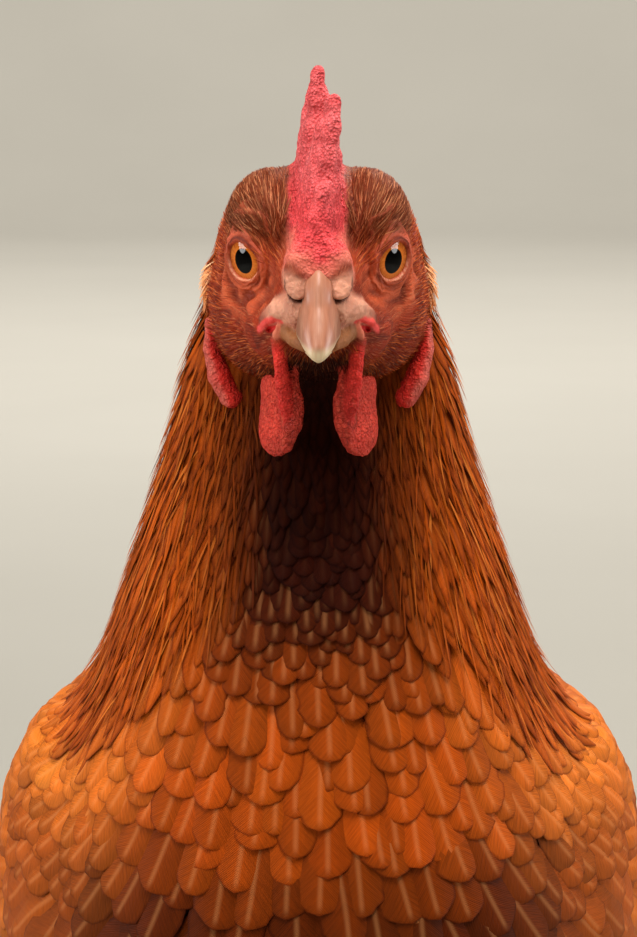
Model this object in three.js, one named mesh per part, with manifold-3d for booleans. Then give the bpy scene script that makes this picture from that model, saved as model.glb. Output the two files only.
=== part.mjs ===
// A laying hen standing alert with its head turned straight ahead, as a life-size still model in millimetres.
// +Z is up, the hen faces -Y and its left side is +X. The origin is on the floor, under the middle of its
// length.
// Flesh and plumage are solid forms that reach out to the tips of the feathers.
import * as THREE from "three";
import { mergeVertices } from "three/addons/utils/BufferGeometryUtils.js";
import Module from "manifold-3d";

const wasm = await Module();
wasm.setup();

// ---- Driving dimensions ----
const GAP = 0.3; // free space between neighbouring solids
const EYE_Y = -98; // the head's middle between the eyes, from the middle of the body's length
const EYE_Z = 385;
const HEAD_PITCH = 14; // degrees that the beak points below the horizon

// The body's axis from the head to the tail. turn is the way that the axis runs: 0 is straight down and
// 90 straight back. side, back and belly are the reach of the section to each side, up the back and down
// the front.
const BODY = [
  { y: -84, z: 378, turn: 32, side: 25.5, back: 16, belly: 8 },
  { y: -77, z: 362, turn: 20, side: 31, back: 22, belly: 12 },
  { y: -73, z: 345, turn: 12, side: 35, back: 24, belly: 17 },
  { y: -70, z: 326, turn: 12, side: 40.5, back: 28, belly: 24 },
  { y: -66, z: 306, turn: 18, side: 46.8, back: 35, belly: 34 },
  { y: -61, z: 287, turn: 30, side: 52.5, back: 40, belly: 50 },
  { y: -55, z: 270, turn: 43, side: 60.5, back: 43, belly: 70 },
  { y: -46, z: 252, turn: 57, side: 69, back: 51, belly: 86 },
  { y: -24, z: 230, turn: 77, side: 76, back: 62, belly: 92 },
  { y: 10, z: 216, turn: 90, side: 77.5, back: 71, belly: 87 },
  { y: 48, z: 216, turn: 97, side: 73, back: 67, belly: 82 },
  { y: 82, z: 227, turn: 106, side: 60, back: 57, belly: 74 },
  { y: 108, z: 244, turn: 118, side: 47, back: 45, belly: 52 },
  { y: 126, z: 260, turn: 128, side: 32, back: 33, belly: 34 },
  { y: 140, z: 275, turn: 134, side: 14, back: 15, belly: 14 },
];
const BODY_RINGS = 26;
const BODY_SIDES = 22;
const BODY_SQUARENESS = 2.25; // exponent of the sections: 2 is an ellipse
const NECK_END = { y: -61, z: 287, turn: 30 }; // where the hackle ends and the trunk starts
const RUMP_END = { y: 112, z: 248, turn: 120 }; // where the trunk ends and the tail starts

// The head's sections, in its own frame: ahead is from the eyes towards the beak and up is from the eyes.
const HEAD = [
  { ahead: 23.5, top: -0.5, middle: -4, bottom: -8.5, side: 4 },
  { ahead: 20, top: 3.6, middle: -5, bottom: -12.5, side: 8.4 },
  { ahead: 14, top: 8.8, middle: -6, bottom: -16.5, side: 12.4 },
  { ahead: 7, top: 13.6, middle: -5, bottom: -19.5, side: 14.8 },
  { ahead: 0, top: 16.6, middle: -6, bottom: -22, side: 17.8 },
  { ahead: -8, top: 18.4, middle: -9.5, bottom: -25, side: 22 },
  { ahead: -16, top: 17.8, middle: -12.5, bottom: -28, side: 25.4 },
  { ahead: -24, top: 14, middle: -14, bottom: -28, side: 25 },
  { ahead: -31, top: 6, middle: -12, bottom: -24, side: 18 },
  { ahead: -34, top: -4, middle: -12, bottom: -20, side: 8 },
];
const EYE = { side: 11.7, ahead: 0, up: 1.7, radius: 7.6 };

const UPPER_BEAK = [
  { ahead: 14, top: 2, middle: -6, bottom: -8.6, side: 9.6 },
  { ahead: 20, top: 3.8, middle: -7, bottom: -9, side: 7.4 },
  { ahead: 24, top: 3, middle: -7, bottom: -9, side: 5.9 },
  { ahead: 28, top: 1, middle: -7.2, bottom: -9.2, side: 4.7 },
  { ahead: 32, top: -2.4, middle: -7.8, bottom: -9.6, side: 3.2 },
  { ahead: 35.2, top: -6.6, middle: -9.2, bottom: -10.2, side: 1.4 },
];
const LOWER_BEAK = [
  { ahead: 12, top: -9.4, middle: -10.4, bottom: -13, side: 9.4 },
  { ahead: 18, top: -9.7, middle: -10.6, bottom: -14, side: 7.6 },
  { ahead: 24, top: -9.7, middle: -10.6, bottom: -13.2, side: 5.2 },
  { ahead: 29, top: -10, middle: -10.8, bottom: -12.2, side: 2.8 },
  { ahead: 31.5, top: -10.5, middle: -11, bottom: -11.6, side: 1 },
];

const COMB = {
  front: 23, // where it starts over the beak, ahead of the eyes
  rear: -31,
  points: 5,
  height: 26, // of the blade over the crown, at its highest point
  web: 0.6, // share of the height below the notches
  baseThickness: 11.5,
  tipThickness: 2.8,
  // Its second point leans to the left and stands a little higher than the rest of the arch.
  lean: { most: 3.2, at: 0.27, reach: 0.12, rise: 0.13 },
};
const WATTLE = { side: 9, ahead: 9.5, top: -13.5, length: 26, breadth: 21, thickness: 4.4, flare: 31 };
const EAR_LOBE = { side: 21.2, ahead: -7, up: -26.5, length: 20.5, breadth: 14, thickness: 7.6, lean: 25 };

const WING = { thickness: 6, rim: 2, inner: 12, front: -70, rear: 134, top: 268.5, bottom: 180 };
// The folded wing's outline from its tip over the top to the shoulder and back, in curves of two handles and
// an end. Each place is a share of the wing's length from the front, and of its height from the bottom.
const WING_TIP = [1, 0.72];
const WING_CURVES = [
  [[0.75, 1], [0.45, 1.07], [0.2, 1]],
  [[0, 1], [-0.02, 0.3], [0.2, 0.09]],
  [[0.42, -0.12], [0.72, 0.07], [1, 0.68]],
];
// The tail is a closed fan, a tent with a narrow ridge that opens towards its lower edges. Its sections
// follow each other out from the rump, and height and side are half of each section.
const TAIL = { y: 96, z: 251, rise: 42, ridge: 0.3 };
const TAIL_SECTIONS = [
  { out: 0, height: 24, side: 26 },
  { out: 36, height: 33, side: 31 },
  { out: 66, height: 34, side: 29 },
  { out: 95, height: 38, side: 27 },
  { out: 120, height: 42, side: 25 },
  { out: 138, height: 37, side: 21 },
  { out: 148, height: 16, side: 12 },
];

const THIGH = { x: 43, y: -2, z: 178, radius: 36, bulge: 5 };
const HOCK = { x: 38, y: 31, z: 99, radius: 7.4 };
const FOOT = { x: 38, y: 12, z: 9 };
const SHANK_RADIUS = 5.2;
const FOOT_PAD = { radius: 11.5, height: 7 };
const SOLE_CUT = 1.1; // how much of each toe's underside is flattened on the floor
const TOES = [
  { name: "inner", turn: -33, length: 44, radius: 4.5, start: 12 },
  { name: "middle", turn: 2, length: 60, radius: 5, start: 11 },
  { name: "outer", turn: 38, length: 50, radius: 4.6, start: 12 },
  { name: "hind", turn: 166, length: 27, radius: 4, start: 11 },
];
const MIDDLE_TOE = TOES.find((toe) => toe.name === "middle");
const CLAW = { length: 13, radius: 2.7, drop: 0.9 };

// ---- Materials ----
const matt = (color, roughness = 0.8) => new THREE.MeshStandardMaterial({ color, roughness, metalness: 0 });
const PLUMAGE = matt(0x9a4b18);
const HACKLE = matt(0x8c3f12);
const TAIL_FEATHER = matt(0x6e3214);
const FACE = matt(0xa4503a);
const RED_SKIN = matt(0xd23a3c, 0.55);
const HORN = matt(0xc99a78, 0.4);
const SCALE = matt(0xd9a544, 0.55);
const CLAW_HORN = matt(0xb99a72, 0.45);
const EYE_GLOSS = matt(0xd07a20, 0.1);

// ---- Shape tools ----
const rad = THREE.MathUtils.degToRad;
const lerp = THREE.MathUtils.lerp;

// A smooth curve through each number of a list of stations, as a function of u from 0 to 1.
function smoothly(stations) {
  const keys = Object.keys(stations[0]);
  const places = stations.map((_, i) => i / (stations.length - 1));
  const numbers = stations.flatMap((s) => keys.map((k) => s[k]));
  const spline = new THREE.CubicInterpolant(places, numbers, keys.length);
  return (u) => {
    const values = spline.evaluate(u);
    return Object.fromEntries(keys.map((k, i) => [k, values[i]]));
  };
}

// A closed surface of rings. pointAt(u, angle) gives a ring's points, and each end closes on its ring's
// middle.
function loft(rings, sides, pointAt) {
  const positions = [];
  for (let i = 0; i <= rings; i++)
    for (let j = 0; j < sides; j++) {
      const point = pointAt(i / rings, (j / sides) * 2 * Math.PI);
      positions.push(...point.toArray());
    }
  const triangles = [];
  const at = (i, j) => i * sides + (j % sides);
  for (let i = 0; i < rings; i++)
    for (let j = 0; j < sides; j++) {
      triangles.push(at(i, j), at(i, j + 1), at(i + 1, j + 1));
      triangles.push(at(i, j), at(i + 1, j + 1), at(i + 1, j));
    }
  for (const ring of [0, rings]) {
    const middle = new THREE.Vector3();
    for (let j = 0; j < sides; j++) middle.add(new THREE.Vector3().fromArray(positions, 3 * at(ring, j)));
    const hub = positions.length / 3;
    positions.push(...middle.divideScalar(sides).toArray());
    for (let j = 0; j < sides; j++)
      triangles.push(...(ring ? [at(ring, j), at(ring, j + 1), hub] : [at(ring, j + 1), at(ring, j), hub]));
  }
  const geometry = new THREE.BufferGeometry();
  geometry.setAttribute("position", new THREE.Float32BufferAttribute(positions, 3));
  geometry.setIndex(triangles);
  return geometry;
}

// The rounded box of a section: power 2 is an ellipse, and more is squarer.
function rounded(angle, power = 2) {
  const bend = (t) => Math.sign(t) * Math.abs(t) ** (2 / power);
  return [bend(Math.cos(angle)), bend(Math.sin(angle))];
}

function solid(geometry) {
  const bare = geometry.clone();
  for (const name of ["normal", "uv"]) bare.deleteAttribute(name);
  const merged = mergeVertices(bare, 1e-4);
  const made = new wasm.Manifold(
    new wasm.Mesh({
      numProp: 3,
      vertProperties: merged.attributes.position.array,
      triVerts: new Uint32Array(merged.index.array),
    }),
  );
  if (made.volume() > 0) return made;
  const flipped = new Uint32Array(merged.index.array).reverse();
  return new wasm.Manifold(
    new wasm.Mesh({ numProp: 3, vertProperties: merged.attributes.position.array, triVerts: flipped }),
  );
}

function geometryOf(manifold) {
  const mesh = manifold.getMesh();
  const geometry = new THREE.BufferGeometry();
  geometry.setAttribute("position", new THREE.BufferAttribute(mesh.vertProperties, 3));
  geometry.setIndex(new THREE.BufferAttribute(mesh.triVerts, 1));
  return geometry;
}

const hen = new THREE.Group();
function add(name, manifold, material) {
  const largest = manifold.decompose().reduce((a, b) => (a.volume() > b.volume() ? a : b));
  const mesh = new THREE.Mesh(geometryOf(largest), material);
  mesh.name = name;
  hen.add(mesh);
}

const SIDES = [
  { name: "left", sign: 1 },
  { name: "right", sign: -1 },
];

// ---- Body ----
const bodyAt = smoothly(BODY);
// The directions along the axis and up the back, where the axis runs at turn degrees.
const along = (turn) => new THREE.Vector3(0, Math.sin(rad(turn)), -Math.cos(rad(turn)));
const upBack = (turn) => new THREE.Vector3(0, Math.cos(rad(turn)), Math.sin(rad(turn)));

// The whole body from the head to the rump. swell(point) moves each point of its surface outwards.
function body(swell) {
  return solid(
    loft(BODY_RINGS, BODY_SIDES, (u, angle) => {
      const s = bodyAt(u);
      const [across, upwards] = rounded(angle, BODY_SQUARENESS);
      const point = new THREE.Vector3(0, s.y, s.z);
      const reach = (more) => {
        const up = (upwards > 0 ? s.back : s.belly) + more;
        return point.clone().addScaledVector(upBack(s.turn), upwards * up).setX(across * (s.side + more));
      };
      return reach(swell(reach(0)));
    }),
  );
}

// The part of a solid on one side of the cut across the body at a station. side is -1 towards the head.
function beyond(manifold, cut, side) {
  const normal = along(cut.turn).multiplyScalar(side);
  const offset = normal.dot(new THREE.Vector3(0, cut.y, cut.z));
  return manifold.trimByPlane(normal.toArray(), offset + GAP / 2);
}

// ---- Head, in the frame of its eyes: x to the left, ahead to the beak and up ----
function headPlace(x, ahead, up) {
  const p = rad(HEAD_PITCH);
  return new THREE.Vector3(
    x,
    EYE_Y - (ahead * Math.cos(p) + up * Math.sin(p)),
    EYE_Z - ahead * Math.sin(p) + up * Math.cos(p),
  );
}

// A form whose sections are set by stations along the head. grow moves its surface outwards.
function alongHead(stations, rings, sides, power, grow = 0) {
  const at = smoothly(stations);
  return solid(
    loft(rings, sides, (u, angle) => {
      const s = at(u);
      const [across, upwards] = rounded(angle, power);
      const reach = (upwards > 0 ? s.top - s.middle : s.middle - s.bottom) + grow;
      return headPlace(across * (s.side + grow), s.ahead + grow * (1 - 2 * u), s.middle + upwards * reach);
    }),
  );
}

function eyeball(sign, grow = 0) {
  const ball = new THREE.SphereGeometry(EYE.radius + grow, 12, 8);
  ball.translate(...headPlace(sign * EYE.side, EYE.ahead, EYE.up).toArray());
  return solid(ball);
}

// The comb's upper edge over the crown at t from 0, over the beak, to 1: a low front, high points in the
// middle and a blade that drops behind the crown.
const combLean = (t) => Math.exp(-(((t - COMB.lean.at) / COMB.lean.reach) ** 2));

function combHeight(t) {
  const swell = Math.sin(Math.PI * Math.min(1, t * 0.92 + 0.08)) ** 0.7 * (1 + COMB.lean.rise * combLean(t));
  const tooth = Math.abs(Math.sin(Math.PI * (t * COMB.points + 0.12))) ** 0.8;
  return COMB.height * swell * lerp(COMB.web, 1, tooth);
}

function comb() {
  const headAt = smoothly(HEAD);
  const top = (ahead) => headAt((HEAD[0].ahead - ahead) / (HEAD[0].ahead - HEAD.at(-1).ahead)).top;
  return solid(
    loft(32, 6, (t, angle) => {
      const ahead = lerp(COMB.front, COMB.rear, t);
      const root = Math.min(top(ahead), 17) - 3.5;
      const tip = Math.max(root + 1, root + 3.5 + combHeight(t));
      const [across, upwards] = rounded(angle, 2.3);
      const height = (upwards + 1) / 2;
      const closing = Math.sqrt(Math.min(1, 8 * Math.min(t, 1 - t) + 0.02));
      const thick = lerp(COMB.baseThickness, COMB.tipThickness, height) * closing;
      const swing = COMB.lean.most * combLean(t) * height;
      return headPlace(swing + (across * thick) / 2, ahead, lerp(root, tip, height));
    }),
  );
}

// A hanging leaf of skin: narrow at its root, round below, with its rear edge flaring out.
function wattle(sign) {
  return solid(
    loft(9, 10, (u, angle) => {
      const [across, front] = rounded(angle, 2);
      const round = Math.sqrt(Math.max(0.004, 1 - (2 * u - 1) ** 2));
      const breadth = (WATTLE.breadth / 2) * round * lerp(0.55, 1.1, u);
      const thick = (WATTLE.thickness / 2) * Math.sqrt(round) * lerp(0.8, 1.1, u);
      const out = across * thick - front * breadth * Math.sin(rad(WATTLE.flare));
      const place = headPlace(0, WATTLE.ahead + front * breadth * Math.cos(rad(WATTLE.flare)), WATTLE.top);
      return new THREE.Vector3(sign * (WATTLE.side + out), place.y, place.z - u * WATTLE.length);
    }),
  );
}

function earLobe(sign) {
  const lobe = new THREE.SphereGeometry(0.5, 10, 8);
  lobe.scale(EAR_LOBE.thickness, EAR_LOBE.breadth, EAR_LOBE.length);
  lobe.rotateY(sign * rad(EAR_LOBE.lean)); // its lower end turns in under the jaw
  lobe.translate(...headPlace(sign * EAR_LOBE.side, EAR_LOBE.ahead, EAR_LOBE.up).toArray());
  return solid(lobe);
}

// ---- Wings: a shell that swells over the flank, cut to the outline of a folded wing ----
function wingOutline(grow) {
  const place = ([back, up]) => [
    lerp(WING.front - grow, WING.rear + grow, back),
    lerp(WING.bottom - grow, WING.top + grow, up),
  ];
  const shape = new THREE.Shape();
  shape.moveTo(...place(WING_TIP));
  for (const curve of WING_CURVES) shape.bezierCurveTo(...curve.flatMap(place));
  return shape;
}

// The space of a folded wing and of the flank under it.
function wingForm(sign, grow = 0) {
  const depth = 100;
  const prism = new THREE.ExtrudeGeometry(wingOutline(grow), { depth, bevelEnabled: false, curveSegments: 8 });
  prism.rotateX(Math.PI / 2).rotateZ(Math.PI / 2); // the outline's axes become Y and Z, and its depth X
  prism.translate(sign > 0 ? WING.inner : -WING.inner - depth, 0, 0);
  const swollen = body((p) => {
    const rise = Math.max(0, 1 - ((2 * (p.y - WING.front)) / (WING.rear - WING.front) - 1) ** 2);
    return WING.rim + (WING.thickness - WING.rim) * rise + grow;
  });
  return swollen.intersect(solid(prism));
}

// ---- Tail: the closed fan, rising behind the rump ----
function tail() {
  const at = smoothly(TAIL_SECTIONS);
  const rise = rad(TAIL.rise);
  return solid(
    loft(12, 14, (u, angle) => {
      const section = at(u);
      const [across, upwards] = rounded(angle, 2.4);
      const tent = lerp(1, TAIL.ridge, ((upwards + 1) / 2) ** 1.3);
      const height = upwards * section.height;
      return new THREE.Vector3(
        across * section.side * tent,
        TAIL.y + section.out * Math.cos(rise) - height * Math.sin(rise),
        TAIL.z + section.out * Math.sin(rise) + height * Math.cos(rise),
      );
    }),
  );
}

// ---- Legs ----
// A round limb through stations with x, y, z and a radius.
function limb(stations, rings, sides) {
  const at = smoothly(stations);
  return solid(
    loft(rings, sides, (u, angle) => {
      const s = at(u);
      const [ahead, behind] = [at(Math.min(1, u + 0.01)), at(Math.max(0, u - 0.01))];
      const run = new THREE.Vector3(ahead.x - behind.x, ahead.y - behind.y, ahead.z - behind.z).normalize();
      const side = new THREE.Vector3(1, 0, 0).addScaledVector(run, -run.x).normalize();
      if (Math.abs(run.x) > 0.9) side.set(0, 1, 0);
      const other = new THREE.Vector3().crossVectors(run, side);
      return new THREE.Vector3(s.x, s.y, s.z)
        .addScaledVector(side, Math.cos(angle) * s.radius)
        .addScaledVector(other, Math.sin(angle) * s.radius);
    }),
  );
}

const aboveFloor = (manifold) => manifold.trimByPlane([0, 0, 1], 0);

function thigh(sign) {
  const stations = [0, 0.25, 0.5, 0.75, 1].map((u) => ({
    x: sign * lerp(THIGH.x, HOCK.x, u),
    y: lerp(THIGH.y, HOCK.y, u),
    z: lerp(THIGH.z, HOCK.z + 2, u),
    radius: lerp(THIGH.radius, HOCK.radius + 1.5, u) + THIGH.bulge * Math.sin(Math.PI * u),
  }));
  return limb(stations, 8, 12);
}

// A place down the shank: 0 is the hock and 1 the foot.
function shankPlace(sign, u, radius) {
  const x = sign * lerp(HOCK.x, FOOT.x, u);
  return { x, y: lerp(HOCK.y, FOOT.y, u), z: lerp(HOCK.z, FOOT.z, u), radius };
}

function shank(sign, grow = 0) {
  const bone = limb(
    [
      shankPlace(sign, -0.08, HOCK.radius * 0.55 + grow),
      shankPlace(sign, 0, HOCK.radius + grow),
      shankPlace(sign, 0.2, SHANK_RADIUS + 0.6 + grow),
      shankPlace(sign, 0.55, SHANK_RADIUS + grow),
      shankPlace(sign, 0.85, SHANK_RADIUS + 0.6 + grow),
      shankPlace(sign, 1, SHANK_RADIUS + 1 + grow),
    ],
    9,
    8,
  );
  const pad = new THREE.SphereGeometry(1, 12, 6);
  pad.scale(FOOT_PAD.radius + grow, FOOT_PAD.radius + grow, FOOT_PAD.height + grow);
  pad.translate(sign * FOOT.x, FOOT.y - 2, FOOT_PAD.height - SOLE_CUT);
  return aboveFloor(bone.add(solid(pad)));
}

// The point at a distance along a toe from the foot's middle, and at a height.
function toePlace(sign, toe, distance, height) {
  const direction = sign * rad(toe.turn);
  return new THREE.Vector3(
    sign * FOOT.x + distance * Math.sin(direction),
    FOOT.y - distance * Math.cos(direction),
    height,
  );
}

function toe(sign, it, grow = 0) {
  const stations = [0, 0.2, 0.4, 0.6, 0.8, 1].map((u, i) => {
    const radius = it.radius * lerp(1, 0.74, u) * (i % 2 ? 1.06 : 0.97) * (u === 1 ? 0.9 : 1);
    const { x, y, z } = toePlace(sign, it, lerp(it.start, it.length + grow, u), radius - SOLE_CUT);
    return { x, y, z, radius: radius + grow };
  });
  return aboveFloor(limb(stations, 7, 7));
}

function claw(sign, it) {
  const root = it.radius * 0.72 - SOLE_CUT + 0.6;
  const stations = [0, 0.35, 0.7, 1].map((u) => {
    const height = Math.max(0.7, root + 1.2 * Math.sin(Math.PI * u) - CLAW.drop * u * root);
    const { x, y, z } = toePlace(sign, it, it.length + CLAW.length * u, height);
    return { x, y, z, radius: lerp(CLAW.radius, 0.6, u) };
  });
  return aboveFloor(limb(stations, 4, 6));
}

// ---- Assembly ----
const wholeBody = body(() => 0);
const [headForm, headGrown] = [0, GAP].map((grow) => alongHead(HEAD, 13, 18, 2.15, grow));
const upperBeak = alongHead(UPPER_BEAK, 8, 12, 2);
const upperBeakGrown = alongHead(UPPER_BEAK, 8, 12, 2, GAP);
const lowerBeak = alongHead(LOWER_BEAK, 6, 10, 2);
const lowerBeakGrown = alongHead(LOWER_BEAK, 6, 10, 2, GAP);

let head = headForm;
for (const { sign } of SIDES) head = head.subtract(eyeball(sign, GAP));
add("head", head, FACE);
add("beak_upper", upperBeak.subtract(headGrown).subtract(lowerBeakGrown), HORN);
add("beak_lower", lowerBeak.subtract(headGrown), HORN);
add("comb", comb().subtract(headGrown).subtract(upperBeakGrown), RED_SKIN);

const bodyGrown = body(() => GAP);
add("neck", beyond(wholeBody, NECK_END, -1).subtract(headGrown), HACKLE);
const tailForm = tail();
const rump = beyond(bodyGrown, RUMP_END, -1);
const trunk = beyond(beyond(wholeBody, NECK_END, 1), RUMP_END, -1);
add("trunk", trunk, PLUMAGE);
add("tail", tailForm.add(beyond(wholeBody, RUMP_END, 1)).subtract(rump), TAIL_FEATHER);

for (const { name, sign } of SIDES) {
  add(`wing_${name}`, wingForm(sign).subtract(bodyGrown).subtract(tailForm), PLUMAGE);
  add(`eye_${name}`, eyeball(sign), EYE_GLOSS);
  const wattleForm = wattle(sign).subtract(headGrown).subtract(lowerBeakGrown);
  add(`wattle_${name}`, wattleForm, RED_SKIN);
  add(`ear_lobe_${name}`, earLobe(sign).subtract(headGrown).subtract(bodyGrown), RED_SKIN);
  const leg = shank(sign);
  const drumstick = thigh(sign).subtract(bodyGrown).subtract(wingForm(sign, GAP)).subtract(shank(sign, GAP));
  add(`thigh_${name}`, drumstick, PLUMAGE);
  add(`shank_${name}`, leg, SCALE);
  for (const it of TOES) {
    const beside = it === MIDDLE_TOE ? toe(sign, it) : toe(sign, it).subtract(toe(sign, MIDDLE_TOE, GAP));
    add(`toe_${it.name}_${name}`, beside.subtract(shank(sign, GAP)), SCALE);
    add(`claw_${it.name}_${name}`, claw(sign, it).subtract(toe(sign, it, GAP)), CLAW_HORN);
  }
}

// The origin goes under the middle of the hen's length.
const extent = new THREE.Box3().setFromObject(hen);
hen.position.y = -(extent.min.y + extent.max.y) / 2;

export default hen;
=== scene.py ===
"""A life-size laying hen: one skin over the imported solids, and a coat of modelled feathers on it.

Lengths are millimetres while the shapes are worked out, and metres in Blender.
"""

import math

import bpy
import numpy as np
import openvdb as vdb
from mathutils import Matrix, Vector


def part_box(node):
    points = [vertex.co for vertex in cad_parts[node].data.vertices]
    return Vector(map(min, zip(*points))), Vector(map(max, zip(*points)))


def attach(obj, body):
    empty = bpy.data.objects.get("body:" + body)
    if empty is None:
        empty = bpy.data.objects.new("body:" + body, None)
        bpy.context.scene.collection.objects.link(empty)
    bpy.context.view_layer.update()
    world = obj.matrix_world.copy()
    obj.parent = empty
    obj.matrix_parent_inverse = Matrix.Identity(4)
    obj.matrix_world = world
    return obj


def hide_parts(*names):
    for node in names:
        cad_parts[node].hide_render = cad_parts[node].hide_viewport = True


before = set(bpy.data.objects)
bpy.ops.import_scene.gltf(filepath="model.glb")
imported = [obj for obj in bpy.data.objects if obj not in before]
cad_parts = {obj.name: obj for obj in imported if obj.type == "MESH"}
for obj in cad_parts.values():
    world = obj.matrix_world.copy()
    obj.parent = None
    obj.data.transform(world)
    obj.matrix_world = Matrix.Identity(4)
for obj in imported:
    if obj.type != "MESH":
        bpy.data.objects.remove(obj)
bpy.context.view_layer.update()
SIDES = (("left", 1), ("right", -1))


# ---- Numbers ----
def lerp(a, b, t):
    return a + (b - a) * t


def blend(base, share, other):
    """base with a share of other at each place."""
    return lerp(base, other, share[:, None])


def spread(colour, number):
    return np.tile(colour, (number, 1))


def smooth(low, high, x):
    """0 below low and 1 above high, with an even start and end. low may be the larger."""
    t = np.clip((np.asarray(x, float) - low) / (high - low), 0, 1)
    return t * t * (3 - 2 * t)


def unit(v):
    return v / np.maximum(np.linalg.norm(v, axis=-1, keepdims=True), 1e-9)


def dot(a, b):
    return (a * b).sum(-1)


def rgb(red, green, blue):
    """A linear colour from screen values of 0 to 255."""
    c = np.array([red, green, blue]) / 255
    return np.where(c <= 0.04045, c / 12.92, ((c + 0.055) / 1.055) ** 2.4)


def corners(*nodes):
    """The lowest and highest corner of CAD nodes, in millimetres."""
    boxes = [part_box(n) for n in nodes]
    low = np.min([b[0] for b in boxes], axis=0) * 1000
    high = np.max([b[1] for b in boxes], axis=0) * 1000
    return low, high


def places(low, step, shape):
    """The points of a grid."""
    return low + np.stack(np.meshgrid(*[np.arange(n) for n in shape], indexing="ij"), -1) * step


def ripple(p, seed, size):
    """Smooth noise from -1 to 1 at points p, with features of about size."""
    r = np.random.default_rng(seed)
    total = np.zeros(p.shape[:-1])
    for _ in range(7):
        way = unit(r.normal(size=3)) * 2 * math.pi / (size * r.uniform(0.7, 1.6))
        total += np.sin(p @ way + r.uniform(0, 2 * math.pi))
    return total / 3.2


# ---- Fields: signed distances on a grid, negative inside ----
class Field:
    def __init__(self, low, step, values):
        self.low, self.step, self.values = np.asarray(low, float), step, values.astype(np.float32)

    def at(self, p):
        q = (p - self.low) / self.step
        q = np.clip(q, 0, np.array(self.values.shape) - 1.001)
        i = np.floor(q).astype(int)
        f = (q - i).astype(np.float32)
        v, x, y, z = self.values, i[..., 0], i[..., 1], i[..., 2]
        c00 = v[x, y, z] * (1 - f[..., 0]) + v[x + 1, y, z] * f[..., 0]
        c10 = v[x, y + 1, z] * (1 - f[..., 0]) + v[x + 1, y + 1, z] * f[..., 0]
        c01 = v[x, y, z + 1] * (1 - f[..., 0]) + v[x + 1, y, z + 1] * f[..., 0]
        c11 = v[x, y + 1, z + 1] * (1 - f[..., 0]) + v[x + 1, y + 1, z + 1] * f[..., 0]
        c0 = c00 * (1 - f[..., 1]) + c10 * f[..., 1]
        c1 = c01 * (1 - f[..., 1]) + c11 * f[..., 1]
        return c0 * (1 - f[..., 2]) + c1 * f[..., 2]

    def slope(self, p):
        h = self.step * 0.75
        steps = np.eye(3) * h
        return np.stack([self.at(p + s) - self.at(p - s) for s in steps], -1) / (2 * h)

    def normal(self, p):
        return unit(self.slope(p))

    def settle(self, p, level, rounds=2):
        """Moves points straight out or in to where the field has that level."""
        for _ in range(rounds):
            g = self.slope(p)
            p = p - g * ((self.at(p) - level) / np.maximum(dot(g, g), 0.15))[..., None]
        return p

    def surface(self, level=0.0):
        grid = vdb.FloatGrid(background=float(self.values.max()))
        grid.copyFromArray(self.values)
        points, triangles, quads = grid.convertToPolygons(isovalue=level, adaptivity=0.0)
        faces = [q[::-1] for q in quads.tolist()] + [t[::-1] for t in triangles.tolist()]
        return points * self.step + self.low, faces


def blurred(values, rounds):
    for _ in range(rounds):
        for axis in range(3):
            pad = [(1, 1) if a == axis else (0, 0) for a in range(3)]
            wide = np.pad(values, pad, mode="edge")
            cut = [slice(None)] * 3
            parts = []
            for start, end in ((0, -2), (1, -1), (2, None)):
                cut[axis] = slice(start, end)
                parts.append(wide[tuple(cut)])
            values = 0.25 * parts[0] + 0.5 * parts[1] + 0.25 * parts[2]
    return values


def distances(points, triangles, low, step, shape, band):
    grid = vdb.FloatGrid.createLevelSetFromPolygons(
        (np.asarray(points) - low) / step, triangles=triangles.astype(np.int32), halfWidth=band
    )
    out = np.zeros(shape, np.float32)
    grid.copyToArray(out)
    return out * step


def solids_field(nodes, step, pad=12.0, blur=2, band=10, fill=0.0):
    """The distance to the union of CAD nodes. Gaps between them are filled where they are under twice fill."""
    low, high = corners(*nodes)
    low, high = low - pad, high + pad
    shape = np.ceil((high - low) / step).astype(int) + 1
    total = np.full(shape, band * step, np.float32)
    for name in nodes:
        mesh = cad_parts[name].data
        points = np.zeros(len(mesh.vertices) * 3, np.float32)
        mesh.vertices.foreach_get("co", points)
        mesh.calc_loop_triangles()
        triangles = np.zeros(len(mesh.loop_triangles) * 3, np.int32)
        mesh.loop_triangles.foreach_get("vertices", triangles)
        total = np.minimum(
            total, distances(points.reshape(-1, 3) * 1000, triangles.reshape(-1, 3), low, step, shape, band)
        )
    if fill:
        points, faces = Field(low, step, total).surface(fill)
        faces = np.array(faces)
        triangles = np.concatenate([faces[:, [0, 1, 2]], faces[:, [0, 2, 3]]])
        swollen = distances(points, triangles, low, step, shape, band + math.ceil(fill / step))
        total = np.minimum(total, swollen + fill)
    return Field(low, step, blurred(total, blur))


# ---- Mesh making ----
def mesh_object(name, points, faces):
    mesh = bpy.data.meshes.new(name)
    if isinstance(faces, np.ndarray):
        mesh.vertices.add(len(points))
        mesh.vertices.foreach_set("co", (np.asarray(points) * 0.001).ravel())
        count = faces.shape[1]
        mesh.loops.add(faces.size)
        mesh.loops.foreach_set("vertex_index", faces.astype(np.int32).ravel())
        mesh.polygons.add(len(faces))
        mesh.polygons.foreach_set("loop_start", np.arange(0, faces.size, count, dtype=np.int32))
        mesh.update(calc_edges=True)
    else:
        mesh.from_pydata((np.asarray(points) * 0.001).tolist(), [], faces)
    mesh.polygons.foreach_set("use_smooth", np.full(len(mesh.polygons), True))
    thing = bpy.data.objects.new(name, mesh)
    bpy.context.scene.collection.objects.link(thing)
    return thing


def tube_faces(rows, turns):
    """The faces between rows of points that go round, each row with as many turns."""
    r, c = np.arange(rows - 1)[:, None] * turns, np.arange(turns)[None, :]
    return np.stack(
        [r + c, r + turns + c, r + turns + (c + 1) % turns, r + (c + 1) % turns], -1
    ).reshape(-1, 4)


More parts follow.
